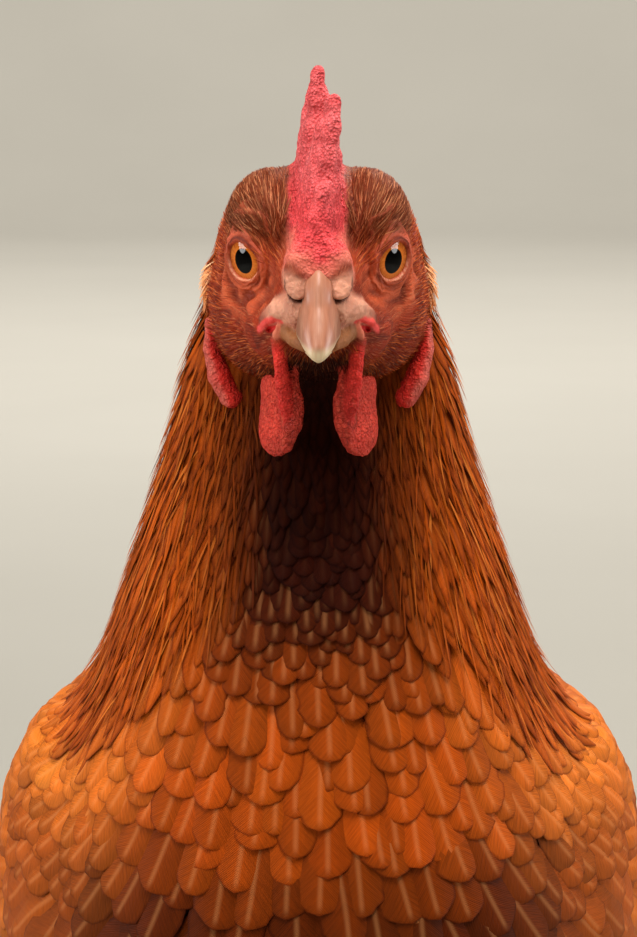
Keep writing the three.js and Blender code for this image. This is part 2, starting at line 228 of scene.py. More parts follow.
def points_of(thing):
    co = np.zeros(len(thing.data.vertices) * 3)
    thing.data.vertices.foreach_get("co", co)
    return co.reshape(-1, 3) * 1000


def set_points(thing, points):
    thing.data.vertices.foreach_set("co", (points * 0.001).ravel())
    thing.data.update()


def normals_of(thing):
    out = np.zeros(len(thing.data.vertices) * 3)
    thing.data.vertices.foreach_get("normal", out)
    return out.reshape(-1, 3)


def attribute(thing, name, values):
    values = np.asarray(values, float)
    if values.ndim == 1:
        thing.data.attributes.new(name, "FLOAT", "POINT").data.foreach_set("value", values)
    elif name.startswith("tint"):
        full = np.concatenate([values, np.ones((len(values), 1))], 1)
        thing.data.attributes.new(name, "FLOAT_COLOR", "POINT").data.foreach_set("color", full.ravel())
    else:
        thing.data.attributes.new(name, "FLOAT_VECTOR", "POINT").data.foreach_set("vector", values.ravel())


def uv_map(thing, name, per_point):
    layer = thing.data.uv_layers.new(name=name)
    index = np.zeros(len(thing.data.loops), np.int32)
    thing.data.loops.foreach_get("vertex_index", index)
    layer.uv.foreach_set("vector", per_point[index].astype(np.float32).ravel())


# ---- The head's own frame: x to the left, ahead to the beak, and up ----
PITCH = math.radians(14)
EYE_UP = 1.7
AHEAD = np.array([0, -math.cos(PITCH), -math.sin(PITCH)])
UP = np.array([0, -math.sin(PITCH), math.cos(PITCH)])
EYES = {side: np.mean(corners(f"eye_{side}"), axis=0) for side, _ in SIDES}
EYE_RADIUS = float(np.ptp(corners("eye_left"), axis=0)[0] / 2)
HEAD = (EYES["left"] + EYES["right"]) / 2 - UP * EYE_UP
EYE_SIDE = float(EYES["left"][0])


def to_head(p):
    d = p - HEAD
    return np.stack([d[..., 0], d @ AHEAD, d @ UP], -1)


def one_side(q):
    """Both sides of the head folded onto its left."""
    return np.concatenate([np.abs(q[..., :1]), q[..., 1:]], -1)


def to_world(q):
    """A direction in the head's frame, in the world's."""
    return q[..., :1] * np.array([1.0, 0, 0]) + q[..., 1:2] * AHEAD + q[..., 2:] * UP


def from_head(q):
    return HEAD + q[..., :1] * np.array([1, 0, 0]) + q[..., 1:2] * AHEAD + q[..., 2:] * UP


# The axis of neck and trunk from the head to the tail: back, up (from the head's middle) and turn in
# degrees.
AXIS = np.array(
    [
        (14, -7, 32),
        (21, -23, 20),
        (25, -40, 12),
        (28, -59, 12),
        (32, -79, 18),
        (37, -98, 30),
        (43, -115, 43),
        (52, -133, 57),
        (74, -155, 77),
        (108, -169, 90),
        (146, -169, 97),
        (180, -158, 106),
        (206, -141, 118),
        (224, -125, 130),
        (246, -106, 134),
        (300, -55, 134),
    ],
    float,
)
AXIS_AT = HEAD + np.stack([np.zeros(len(AXIS)), AXIS[:, 0], AXIS[:, 1]], -1)
AXIS_RUN = np.stack(
    [np.zeros(len(AXIS)), np.sin(np.radians(AXIS[:, 2])), -np.cos(np.radians(AXIS[:, 2]))], -1
)
AXIS_LENGTH = np.concatenate([[0], np.cumsum(np.linalg.norm(np.diff(AXIS_AT, axis=0), axis=1))])


def front_of(run):
    """The way square to the axis that points to the hen's front or underside."""
    front = unit(np.cross(run, np.array([1.0, 0, 0])))
    return np.where(front[..., 1:2] + front[..., 2:3] > 0, -front, front)


def along_axis(p):
    """The axis's way beside points, how far down it they are, and their angle round it from the front."""
    gap = np.linalg.norm(p[..., None, :] - AXIS_AT, axis=-1)
    share = np.exp(-((gap / 26) ** 2)) + 1e-9
    share /= share.sum(-1, keepdims=True)
    run = unit(share @ AXIS_RUN)
    centre = share @ AXIS_AT
    length = share @ AXIS_LENGTH + dot(p - centre, run)
    front = front_of(run)
    away = p - centre
    angle = np.arctan2(away[..., 0], dot(away, front))
    return run, length, angle


# ---- The head's form ----
def ellipsoid(q, centre, radii, power=2.0):
    d = np.abs((q - np.array(centre)) / np.array(radii))
    size = (d**power).sum(-1) ** (1 / power)
    steep = np.sqrt(
        (((d ** (power - 1)) / np.array(radii)) ** 2).sum(-1)
    ) / np.maximum(size, 1e-6) ** (power - 1)
    return (size - 1) / np.maximum(steep, 1e-3)


def chain(q, points, radii):
    """A bent rod through points whose radius changes along it."""
    best = None
    for a, b, ra, rb in zip(points, points[1:], radii, radii[1:]):
        a, b = np.array(a, float), np.array(b, float)
        t = np.clip((q - a) @ (b - a) / ((b - a) @ (b - a)), 0, 1)
        d = np.linalg.norm(q - a - t[..., None] * (b - a), axis=-1) - lerp(ra, rb, t)
        best = d if best is None else join(best, d, 0.4)
    return best


def join(a, b, soft):
    h = np.maximum(soft - np.abs(a - b), 0) / soft
    return np.minimum(a, b) - h * h * soft / 4


def cut(a, b, soft):
    """a without b."""
    return -join(-a, b, soft)


COMB_FRONT, COMB_REAR = 23.0, -31.0
COMB_POINTS, COMB_HEIGHT, COMB_WEB = 5, 26.0, 0.6
# How high the crown is under the comb, from its rear to its front.
CROWN = np.array(
    [
        (-34, -4), (-31, 6), (-24, 14), (-16, 17.8), (-8, 18.4), (0, 16.6), (7, 13.6), (14, 8.8), (20, 3.6),
        (24, 0)
    ],
    float
)


def comb_form(q):
    x, ahead, up = q[..., 0], q[..., 1], q[..., 2]
    t = (COMB_FRONT - ahead) / (COMB_FRONT - COMB_REAR)
    inside = np.clip(t, 0, 1)
    lean = np.exp(-(((inside - 0.27) / 0.12) ** 2))
    swell = np.sin(np.pi * np.minimum(1, inside * 0.92 + 0.08)) ** 0.7 * (1 + 0.13 * lean)
    tooth = np.abs(np.sin(np.pi * (inside * COMB_POINTS + 0.12))) ** 0.8
    root = np.minimum(np.interp(ahead, CROWN[:, 0], CROWN[:, 1]), 17)
    rise = COMB_HEIGHT * swell * lerp(COMB_WEB, 1, tooth)
    height = np.clip((up - root + 2) / np.maximum(rise + 2, 1), 0, 1)
    # The blade is fuller on its right side, and its second point leans to the left.
    swing = 3.4 * lean * height + 0.5 * ripple(q * np.array([0, 1, 1]), 12, 16) * height
    thick = np.where(
        x < swing, lerp(5.0, 0.9, height**1.8), lerp(4.5, 0.9, height**1.1)
    ) + 0.9 * np.exp(-((height / 0.12) ** 2)) + 0.6 * ripple(q, 77, 6) * height
    top = (up - root - rise) * 0.62
    ends = np.maximum(-t, t - 1) * (COMB_FRONT - COMB_REAR)
    outline = np.maximum(np.maximum(top, ends), root - 8 - up)
    across = np.abs(x - swing) - thick
    corner = 1.3
    return np.minimum(np.maximum(across, outline) + corner, 0) - corner + np.sqrt(
        np.maximum(across + corner, 0) ** 2 + np.maximum(outline + corner, 0) ** 2
    )


DOWN = np.array([0, math.sin(PITCH), -math.cos(PITCH)])  # plumb, in the head's frame


def wattle_form(q):
    """A leaf of skin that hangs plumb from the jaw, its thick edge in front and its rear flared out."""
    q = one_side(q)
    flare = math.radians(33)
    back = np.array(
        [math.sin(flare), -math.cos(flare) * math.cos(PITCH), -math.cos(flare) * math.sin(PITCH)]
    )
    face = np.cross(back, DOWN)
    d = q - np.array([8.7, 10.2, -13.2])
    low, rear, flat = d @ DOWN, d @ back, d @ face
    flat = flat + 0.03 * (rear - 1) ** 2 - 0.5 + 0.35 * np.sin(low * 0.5)
    leaf = np.stack([flat, rear, low], -1)
    lobe = ellipsoid(leaf, (0, 1.4, 17.6), (1.15, 8.2, 8.9), 2.3)
    stalk = ellipsoid(leaf, (0, -3.9, 7), (1.0, 1.5, 10), 2.2)
    edge = chain(
        leaf, [
            (-0.3, -2.2, -2), (0, -4.4, 5), (0.2, -5.4, 13), (0.2, -5.2, 19), (0.1, -3.4, 24)
        ], (1.0, 1.35, 1.6, 1.6, 0.9)
    )
    return join(join(lobe, stalk, 1.2), edge, 0.7)


def ear_lobe_form(q):
    """A crescent that hugs the rear of the cheek and broadens downward."""
    q = one_side(q) * np.array([1, 0.62, 1])
    path = [(24.3, -10.5, -17.6), (23.8, -9.0, -23.4), (21.9, -7.6, -29.2), (19.4, -6.5, -33.4)]
    path = [(x, 0.62 * ahead, up) for x, ahead, up in path]
    return chain(q, path, (0.9, 1.8, 2.7, 2.8))


EYE_AXIS = unit(np.array([0.755, 0.656, 0.02]))
LID_ANGLE = math.radians(35)


def eye_angles(q):
    """Distance from the middle of the nearer eye, angle off its axis, and the way round the axis."""
    d = one_side(q) - np.array([EYE_SIDE, 0, EYE_UP])
    far = np.linalg.norm(d, axis=-1)
    over = unit(np.array([0, 0, 1.0]) - EYE_AXIS * EYE_AXIS[2])
    fore = np.cross(over, EYE_AXIS)
    fore = fore * np.sign(fore[1])
    a, b = d @ fore, d @ over
    off = np.arctan2(np.hypot(a, b), d @ EYE_AXIS)
    return far, off, np.arctan2(b, a)


# The flap over each nostril, with the slope of the beak's base taken out of its place.
FLAP_AT, FLAP_RADII, FLAP_POWER = (4.5, 0, 3.4), (2.75, 1.3, 3.6), 2.4


def head_form(q):
    """The head with comb, wattles and ear lobes, and the share of each at every place."""
    m = one_side(q)
    skull = ellipsoid(q, (0, -13, -4), (22.4, 17.5, 21.0), 2.35)
    puffs = ellipsoid(m, (20.3, -15.5, -11.5), (5.0, 6.2, 6.8))
    far, off, round_eye = eye_angles(q)
    lids = np.maximum(far - (EYE_RADIUS + 0.75), off * far - math.radians(74) * far)
    for add, form, soft in (
        (join, ellipsoid(q, (0, 3, -6), (13, 19.5, 13.5), 2.2), 9),  # the face
        (join, ellipsoid(m, (10.5, -10, -16), (13, 15, 13.5)), 6),  # the cheeks
        (join, ellipsoid(m, (10.6, -5, 9.6), (8.4, 12, 8.8)), 4),  # the brows
        (join, ellipsoid(q, (0, 1, -16), (11, 15, 8.5)), 5),  # the jaw
        (join, chain(q, [(0, -15, -12), (0, -21, -42)], (17, 9)), 8),  # the neck
        (join, ellipsoid(m, (8.2, 7.5, -11.5), (7.4, 9.2, 8.5)), 4),  # the corners of the mouth
        (cut, ellipsoid(m, (17.5, 13.5, -1), (6.5, 8, 7)), 5),  # the hollows before the eyes
        (
            cut, chain(m, [(6.4, -16, 18.4), (6.6, -5, 19.8), (6.6, 6, 16.2)], (1.8, 2.2, 1.8)), 3
        ),  # beside the comb
        (join, puffs, 2.6),
        (join, lids, 2.2),
    ):
        skull = add(skull, form, soft)
    brow = np.exp(-(((round_eye - 1.05) / 0.55) ** 2))
    open_angle = LID_ANGLE * (1.01 + 0.07 * np.cos(2 * round_eye) + 0.05 * np.cos(round_eye) - 0.12 * brow)
    hole = np.maximum((off - open_angle) * far, 5 - far)
    skull = cut(skull, hole, 0.5)
    fold = np.hypot((off - open_angle - 0.2) * (EYE_RADIUS + 0.8), far - (EYE_RADIUS + 0.5)) - 0.45
    skull = join(skull, fold, 0.5)
    rim = np.hypot((off - open_angle - 0.02) * (EYE_RADIUS + 0.5), far - (EYE_RADIUS + 0.4)) - 0.22
    skull = join(skull, rim, 0.25)
    comb = comb_form(q)
    comb = join(comb, ellipsoid(q, (0, 17.4, 5.2), (7.2, 5.6, 6.4), 2.1), 3.0)
    form = join(skull, comb, 2.6)
    cere = chain(
        m,
        [(2.6, 22.8, -2.2), (6.2, 20.3, -3.5), (9.0, 17.4, -4.8), (11.1, 14.6, -7.2), (11.9, 12.4, -9.6)],
        (2.2, 2.0, 1.15, 0.45, 0.15),
    )
    form = join(form, cere, 2.6)
    sloped = m + np.array([0, 1, 0]) * (0.44 * (m[..., 2:] + 0.5) - 24.6)
    flaps = ellipsoid(sloped, FLAP_AT, FLAP_RADII, FLAP_POWER)
    groove = np.maximum(np.abs(flaps - 0.35) - 0.32, q[..., 2] - 3.2)
    form = cut(form, groove, 0.2)
    form = join(form, flaps, lerp(0.15, 3.2, smooth(3.0, 5.6, q[..., 2])))
    slit = chain(
        m, [(1.9, 24.6, 1.2), (3.0, 24.9, -0.1), (4.6, 24.9, -0.5), (6.2, 24.4, 0.2), (7.1, 23.6, 1.6)],
        (0.3, 0.4, 0.5, 0.5, 0.3)
    )
    form = cut(form, slit, 0.25)
    lip = chain(
        m, [
            (7.9, 19.6, -6.4), (9.6, 18.2, -6.6), (11.2, 16.4, -7.9), (12.2, 14.6, -10.0),
            (12.5, 13.0, -12.2)
        ],
        (0.4, 0.55, 0.6, 0.6, 0.5),
    )
    mouth = chain(m, [(8.6, 19.0, -8.0), (10.4, 16.6, -9.4), (11.6, 14.2, -11.8)], (0.35, 0.4, 0.25))
    form = join(form, lip, 0.35)
    form = cut(form, mouth, 0.3)
    ramus = chain(m, [(5.9, 18.6, -8.9), (4.5, 21.5, -9.3), (2.8, 25.0, -9.5)], (2.4, 2.4, 1.9))
    form = join(form, ramus, 0.8)
    inner_lip = chain(m, [(8.5, 19.4, -7.4), (8.9, 18.6, -9.6), (8.9, 17.4, -12.0)], (0.5, 0.75, 0.8))
    form = join(form, inner_lip, 0.4)
    band = chain(
        m, [(8.9, 17.7, -11.4), (8.3, 17.7, -15), (7.6, 18.0, -21), (7.0, 18.2, -26), (6.3, 17.9, -30.5)],
        (0.85, 1.4, 1.7, 1.65, 1.1),
    )
    wattles = join(wattle_form(q), band, 0.45)
    form = join(form, wattles, 1.6)
    lobes = ear_lobe_form(q)
    form = join(form, lobes, 1.0)
    share = dict(comb=comb, flaps=flaps, cere=cere, lip=lip, mouth=mouth, ramus=ramus, inner_lip=inner_lip)
    return form, share | dict(wattles=wattles, band=band, lobes=lobes, rim=rim, puffs=puffs)


HEAD_STEP = 0.5
HEAD_LOW, HEAD_HIGH = np.array([-33.0, -48, -49]), np.array([33.0, 28, 46])
shape = np.ceil((HEAD_HIGH - HEAD_LOW) / HEAD_STEP).astype(int) + 1
head_field = Field(HEAD_LOW, HEAD_STEP, np.clip(head_form(places(HEAD_LOW, HEAD_STEP, shape))[0], -12, 12))

# ---- The body's form ----
FLESH = ["head", "neck", "trunk", "tail", "wing_left", "wing_right", "thigh_left", "thigh_right"]
body_field = solids_field(FLESH, 2.0, pad=22, blur=3, band=9, fill=10.0)
tail_low = corners("tail")[0]
hock_z = corners("thigh_left")[0][2]


def coat_depth(p):
    """How deep the skin lies under the tips of the feathers."""
    depth = np.full(p.shape[:-1], 5.0)
    depth = lerp(depth, 7.5, smooth(-4, -16, to_head(p)[..., 2]) * smooth(-120, -70, p[..., 2] - HEAD[2]))
    depth = lerp(depth, 1.0, smooth(hock_z + 42, hock_z + 4, p[..., 2]))
    stub = (p - np.array([0, tail_low[1] + 52, tail_low[2] + 50])) @ unit(np.array([0, 1.0, 0.9]))
    return depth + 22 * smooth(0, 34, stub)


skin_depth = coat_depth(places(body_field.low, body_field.step, body_field.values.shape))
skin_field = Field(body_field.low, body_field.step, body_field.values + skin_depth)

# ---- Legs ----
def leg_bones(side):
    """The middles of the hock and of the foot."""
    low, high = corners(f"shank_{side}")
    across = (low[0] + high[0]) / 2
    return np.array([across, high[1] - 7.4, high[2] - 8]), np.array([across, low[1] + 13.5, 9])


BONES = {side: leg_bones(side) for side, _ in SIDES}
LEG_NODES = [
    f"{part}_{side}" for side,
    _ in SIDES for part in ("shank", "toe_inner", "toe_middle", "toe_outer", "toe_hind")
]
leg_field = solids_field(LEG_NODES, 0.8, pad=4, blur=2, band=5)


def united(name, *parts):
    """One mesh out of several that overlap."""
    first = mesh_object(name, *parts[0])
    for i, part in enumerate(parts[1:]):
        other = mesh_object(f"{name}_{i}", *part)
        tool = first.modifiers.new("join", "BOOLEAN")
        tool.operation, tool.solver, tool.object = "UNION", "MANIFOLD", other
        made = bpy.data.meshes.new_from_object(first.evaluated_get(bpy.context.evaluated_depsgraph_get()))
        first.modifiers.clear()
        first.data = made
        bpy.data.objects.remove(other)
    first.data.name = name
    return first


head_points, head_faces = head_field.surface(0.0)
skin = united(
    "skin", skin_field.surface(0.0), (from_head(head_points), head_faces), leg_field.surface(0.05)
)

# ---- Finish of the skin: bumps and creases, then masks for its colours ----
place = points_of(skin)
place_head = to_head(place)
head_x, head_y, head_z = place_head.T
normal = normals_of(skin)
on_head = smooth(-46, -40, head_z) * smooth(-40, -34, head_y)
form, parts = head_form(place_head)


def near(distance, inner=-0.4, outer=0.8):
    return smooth(outer, inner, distance) * on_head


far, off, round_eye = eye_angles(place_head)
over_eye = np.sin(round_eye)
lid_reach = (off - LID_ANGLE) * (EYE_RADIUS + 1)
around_eye = smooth(9.5, 2.5, lid_reach) * smooth(16, 12, far) * on_head
below = smooth(0.35, -0.7, over_eye) + 0.6 * smooth(0.2, 0.9, over_eye)
mask = dict(
    comb=near(parts["comb"], 0.0, 1.4),
    wattles=near(parts["wattles"]),
    lobes=near(parts["lobes"]),
    flaps=near(parts["flaps"], 0.0, 0.7),
    cere=near(parts["cere"], 0.4, 2.6),
    lip=near(parts["lip"], 0.0, 0.5),
    mouth=near(parts["mouth"], 0.0, 0.4),
    ramus=near(parts["ramus"], 0.0, 0.6) * smooth(15, 17, head_y),
    inner_lip=near(parts["inner_lip"], 0.0, 0.4),
    rim=near(parts["rim"], 0.0, 0.3) * smooth(EYE_RADIUS + 0.62, EYE_RADIUS + 0.3, far),
    band=near(parts["band"], 0.0, 0.5),
    puffs=near(parts["puffs"], 0.0, 1.0) * smooth(19.5, 21.5, np.abs(head_x)),
)
red = np.clip(
    mask["comb"] + mask["wattles"] + mask["lobes"], 0, 1
) * (1 - mask["flaps"]) * (1 - mask["ramus"])


def pebbles(p, size, seed):
    """Rounded grains of about size, from 0 between them to 1 on top."""
    a = ripple(p, seed, size * 1.7)
    b = ripple(p + 3.1, seed + 1, size * 1.1)
    return np.clip(0.5 + 0.42 * a + 0.34 * b, 0, 1)


grain = pebbles(place_head, 1.5, 5)
crease = np.cos(2 * math.pi * (lid_reach + 0.7 * ripple(place_head, 8, 6)) / 2.3)
crease = crease * smooth(0.7, 1.5, lid_reach) * smooth(9.5, 6, lid_reach) * np.clip(below, 0, 1)
creased = smooth(11, 5, lid_reach) * smooth(16, 12, far) * on_head
move = red * 0.3 * (grain - 0.5) + creased * 0.55 * crease * (1 - red)
tan_skin = np.clip(mask["cere"] + mask["flaps"] + mask["comb"] * smooth(9, 5, head_z), 0, 1)
tan_skin *= (1 - mask["wattles"]) * (1 - mask["lobes"])
fold = place_head * np.array([0.35, 1, 1.6])
move += 0.2 * tan_skin * (1 - mask["flaps"]) * ripple(fold, 23, 2.2)
move += (1 - red) * on_head * (1 - mask["rim"]) * 0.07 * ripple(place_head, 21, 1.6)
set_points(skin, place + normal * move[:, None])

# ---- Horn, claws and eyes ----
def refined(name, nodes, step, blur, level):
    field = solids_field(nodes, step, pad=2.5, blur=blur, band=5)
    return mesh_object(name, *field.surface(level))


beak_upper = refined("horn_upper", ["beak_upper"], 0.35, 3, 0.12)
beak_lower = refined("horn_lower", ["beak_lower"], 0.35, 2, 0.05)
TOES = ("inner", "middle", "outer", "hind")
claw_nodes = {side: [f"claw_{toe}_{side}" for toe in TOES] for side, _ in SIDES}
claws = {side: refined(f"claws_{side}", claw_nodes[side], 0.4, 1, 0.05) for side, _ in SIDES}

for thing in (beak_upper, beak_lower):
    q = to_head(points_of(thing))
    x, ahead, up = q.T
    if thing is beak_lower:
        x *= 0.66
    else:
        x *= lerp(
            lerp(0.74, 0.9, smooth(22, 27, ahead)), 1.0, smooth(28, 33, ahead)
        ) * (1 + 0.5 * smooth(0, 3.8, up))
        high = smooth(-0.5, 3.8, up)
        ahead += 1.2 * high
        up += 2.6 * high
        ridge = np.exp(-((x / 1.6) ** 2)) * smooth(-9, -4, up + 0.45 * (ahead - 20)) * smooth(33, 28, ahead)
        up += 0.5 * ridge
    set_points(thing, from_head(q))
    attribute(thing, "ahead", q[:, 1])
    attribute(thing, "up", q[:, 2])
    attribute(thing, "side", np.abs(q[:, 0]))

eyes = {}
for side, sign in SIDES:
    way = EYE_AXIS * np.array([sign, 1, 1])
    axis = to_world(way)
    across = unit(np.cross(axis, UP))
    over = np.cross(across, axis)
    turns = 64
    angle = np.concatenate([np.linspace(0, 60, 40), np.linspace(64, 180, 9)])
    theta = np.radians(angle)[:, None]
    phi = (np.arange(turns) / turns * 2 * math.pi)[None, :]
    flat = EYE_RADIUS * math.cos(math.radians(37)) / np.cos(np.radians(np.minimum(angle, 37)))
    bulge = (EYE_RADIUS - 0.05 - 0.6 * (EYE_RADIUS - flat))[:, None]
    local = np.stack([np.sin(theta) * np.cos(phi), np.sin(theta) * np.sin(phi), np.cos(theta) + 0 * phi], -1)
    ball = (local * (bulge * np.ones_like(phi))[..., None]).reshape(-1, 3)
    points = EYES[side] + ball @ np.stack([across, over, axis])
    eyes[side] = mesh_object(f"eyeball_{side}", points, tube_faces(len(angle), turns))
    forward = unit(axis + 0.085 * unit(AHEAD - axis * float(AHEAD @ axis)))
    toward = unit((local.reshape(-1, 3)) @ np.stack([across, over, axis]))
    attribute(eyes[side], "off", np.degrees(np.arccos(np.clip(toward @ forward, -1, 1))))
    attribute(eyes[side], "way", np.tile(phi.ravel(), len(angle)))


# ---- Materials ----
class Paint:
    """A node material whose surface is one Principled shader."""

    def __init__(self, name, **settings):
        self.material = bpy.data.materials.new(name)
        self.material.use_nodes = True
        self.tree = self.material.node_tree
        self.shader = self.tree.nodes["Principled BSDF"]
        for key, value in settings.items():
            self.shader.inputs[key.replace("_", " ")].default_value = value

    def node(self, kind, **settings):
        made = self.tree.nodes.new(kind)
        for key, value in settings.items():
            setattr(made, key, value)
        return made

    def wire(self, value, socket):
        if isinstance(value, bpy.types.NodeSocket):
            self.tree.links.new(value, socket)
        elif isinstance(value, (np.ndarray, tuple)):
            socket.default_value = (*value[:3], 1) if len(socket.default_value) == 4 else value[:3]
        else:
            socket.default_value = value

    def attr(self, name, kind="Fac"):
        return self.node("ShaderNodeAttribute", attribute_name=name).outputs[kind]

    def fed(self, made, *values):
        for value, socket in zip(values, made.inputs):
            self.wire(value, socket)
        return made.outputs[0]

    def math(self, operation, a, b=0.0, c=0.0):
        return self.fed(self.node("ShaderNodeMath", operation=operation), a, b, c)

    def times(self, a, b):
        return self.math("MULTIPLY", a, b)

    def plus(self, a, b):
        return self.math("ADD", a, b)

    def minus(self, a, b):
        return self.math("SUBTRACT", a, b)

    def vector(self, x, y, z):
        return self.fed(self.node("ShaderNodeCombineXYZ"), x, y, z)

    def span(self, value, low, high, to_low=0.0, to_high=1.0):
        made = self.node("ShaderNodeMapRange", interpolation_type="SMOOTHSTEP")
        return self.fed(made, value, low, high, to_low, to_high)

    def mix(self, share, a, b, blend="MIX"):
        made = self.node("ShaderNodeMix", data_type="RGBA", blend_type=blend)
        self.wire(share, made.inputs[0])
        self.wire(a, made.inputs[6])
        self.wire(b, made.inputs[7])
        return made.outputs[2]

    def tone(self, share, colour, factor):
        """colour, times factor where share is 1."""
        return self.mix(share, colour, factor, "MULTIPLY")

    def texture(self, made, vector, **settings):
        if vector is None:
            vector = self.node("ShaderNodeTexCoord").outputs["Object"]
        self.wire(vector, made.inputs["Vector"])
        for key, value in settings.items():
            made.inputs[key.replace("_", " ")].default_value = value
        return made.outputs

    def noise(self, scale, detail=3.0, vector=None, rough=0.5):
        made = self.node("ShaderNodeTexNoise")
        return self.texture(made, vector, Scale=scale, Detail=detail, Roughness=rough)["Fac"]

    def cells(self, scale, feature="F1"):
        return self.texture(
            self.node("ShaderNodeTexVoronoi", feature=feature), None, Scale=scale
        )["Distance"]

    def bump(self, height, distance, strength):
        made = self.node("ShaderNodeBump")
        made.inputs["Strength"].default_value = strength
        made.inputs["Distance"].default_value = distance
        self.wire(height, made.inputs["Height"])
        return made.outputs[0]

    def use(self, **sockets):
        for key, value in sockets.items():
            self.wire(value, self.shader.inputs[key.replace("_", " ")])
        return self.material


def feather_material():
    p = Paint("plumage", Roughness=0.55, Specular_IOR_Level=0.05)
    tint = p.attr("tint", "Color")
    uv = p.node("ShaderNodeUVMap", uv_map="vane").outputs[0]
    parts = p.node("ShaderNodeSeparateXYZ")
    p.wire(uv, parts.inputs[0])
    u, v = parts.outputs[0], parts.outputs[1]
    aside = p.math("ABSOLUTE", p.minus(u, 0.5))
    wobble = p.noise(60.0, 2.0)
    # Barbs slant from the shaft to the tip, about two to the millimetre.
    lines = p.minus(v, p.times(aside, 1.1))
    phase = p.plus(p.times(lines, 110.0), p.times(wobble, 5.0))
    barb = p.math("MULTIPLY_ADD", p.math("SINE", phase), 0.5, 0.5)
    streaky = p.noise(1.0, 3.0, p.vector(p.times(lines, 26.0), p.times(aside, 3.0), p.attr("chance")))
    colour = p.tone(p.times(barb, 0.2), tint, (0.3, 0.22, 0.18))
    colour = p.tone(p.span(streaky, 0.35, 0.75, 0.0, 0.45), colour, (1.6, 1.5, 1.35))
    colour = p.tone(p.span(streaky, 0.5, 0.2, 0.0, 0.4), colour, (0.6, 0.5, 0.4))
    inside = p.span(p.attr("edge"), 0.2, 3.2)
    shaft = p.times(p.times(p.span(aside, 0.1, 0.0), inside), p.attr("shaft"))
    colour = p.mix(shaft, colour, p.mix(0.35, tint, (0.9, 0.42, 0.16)))
    pale = p.times(p.span(aside, 0.42, 0.0), p.span(p.attr("edge"), 0.6, 3.4))
    colour = p.tone(p.times(pale, 0.3), colour, (1.7, 1.6, 1.4))
    # A dark rim at each vane's edge: partly the darker fringe of the feather, partly painted shade in the gap
    # where it lies over the next.
    rim = p.span(p.attr("edge"), 0.9, 0.05)
    colour = p.tone(p.times(rim, 0.6), colour, (0.36, 0.24, 0.18))
    height = p.plus(p.times(barb, 0.5), p.times(shaft, 1.2))
    height = p.plus(height, p.times(streaky, 0.8))
    return p.use(Base_Color=colour, Normal=p.bump(height, 0.00012, 0.8))


def skin_material():
    p = Paint(
        "hen_skin", Roughness=0.5, Specular_IOR_Level=0.13, Subsurface_Weight=0.08,
        Subsurface_Radius=(1.0, 0.25, 0.12), Subsurface_Scale=0.0015
    )
    tint = p.attr("tint", "Color")
    red = p.attr("red")
    grain = p.cells(1500.0)
    fine = p.noise(1400.0, 4.0)
    coarse = p.noise(520.0, 3.0)
    # The red skin is darker between its grains: painted shade in the hollows that the bump below sinks.
    colour = p.tone(p.times(p.span(grain, 0.25, 0.75), p.times(red, 0.55)), tint, (0.55, 0.3, 0.3))
    tan, lidway = p.attr("tan"), p.attr("lidway")
    mottle = p.times(p.span(coarse, 0.5, 0.8), p.span(tan, 1.0, 0.0, 0.1, 0.45))
    colour = p.tone(mottle, colour, (1.25, 1.15, 1.1))
    plates = p.texture(
        p.node("ShaderNodeTexBrick", offset=0.5, squash=1.0), p.attr("lie", "Vector"),
        Scale=1.0, Mortar_Size=0.045, Mortar_Smooth=0.6, Brick_Width=1.0, Row_Height=0.5,
    )
    gap = p.times(plates["Fac"], p.attr("scaly"))
    colour = p.tone(p.times(gap, 0.75), colour, (0.3, 0.19, 0.1))
    strands = p.noise(1.0, 3.0, p.attr("strand", "Vector"), 0.6)
    downy = p.attr("downy")
    colour = p.tone(p.times(p.span(strands, 0.5, 0.25), p.times(downy, 0.75)), colour, (0.3, 0.22, 0.2))
    colour = p.mix(p.times(p.span(strands, 0.5, 0.72), p.times(downy, 0.6)), colour, rgb(206, 122, 82))
    wrinkle = p.plus(p.times(lidway, 6.4), p.times(p.noise(420.0, 3.0), 9.0))
    wrinkle = p.times(p.math("SINE", wrinkle), p.times(tan, 0.5))
    # Painted shade in the troughs of the wrinkles.
    colour = p.tone(p.times(p.span(wrinkle, 0.1, -0.45), 0.3), colour, (0.5, 0.34, 0.3))
    crack = p.times(p.span(p.cells(760.0, "DISTANCE_TO_EDGE"), 0.22, 0.02), p.attr("leather"))
    # Painted shade in the cracks of the wattles and ear lobes.
    colour = p.tone(p.times(crack, 0.4), colour, (0.6, 0.3, 0.3))
    pucker = p.times(p.span(coarse, 0.56, 0.4), red)
    # Painted shade in the puckers, which the bump below sinks.
    colour = p.tone(p.times(pucker, 0.55), colour, (0.66, 0.4, 0.4))
    height = p.times(p.minus(1.0, p.span(grain, 0.1, 0.8)), p.times(red, 1.6))
    feather_lines = p.times(strands, downy)
    for part, share in (
        (pucker, -1.6), (wrinkle, 1.2), (crack, -1.8), (feather_lines, 3.0), (fine, 0.5), (gap, -2.0),
    ):
        height = p.plus(height, p.times(part, share))
    rough = p.math("MULTIPLY_ADD", fine, 0.2, 0.46)
    return p.use(Base_Color=colour, Roughness=rough, Normal=p.bump(height, 0.00022, 0.9))


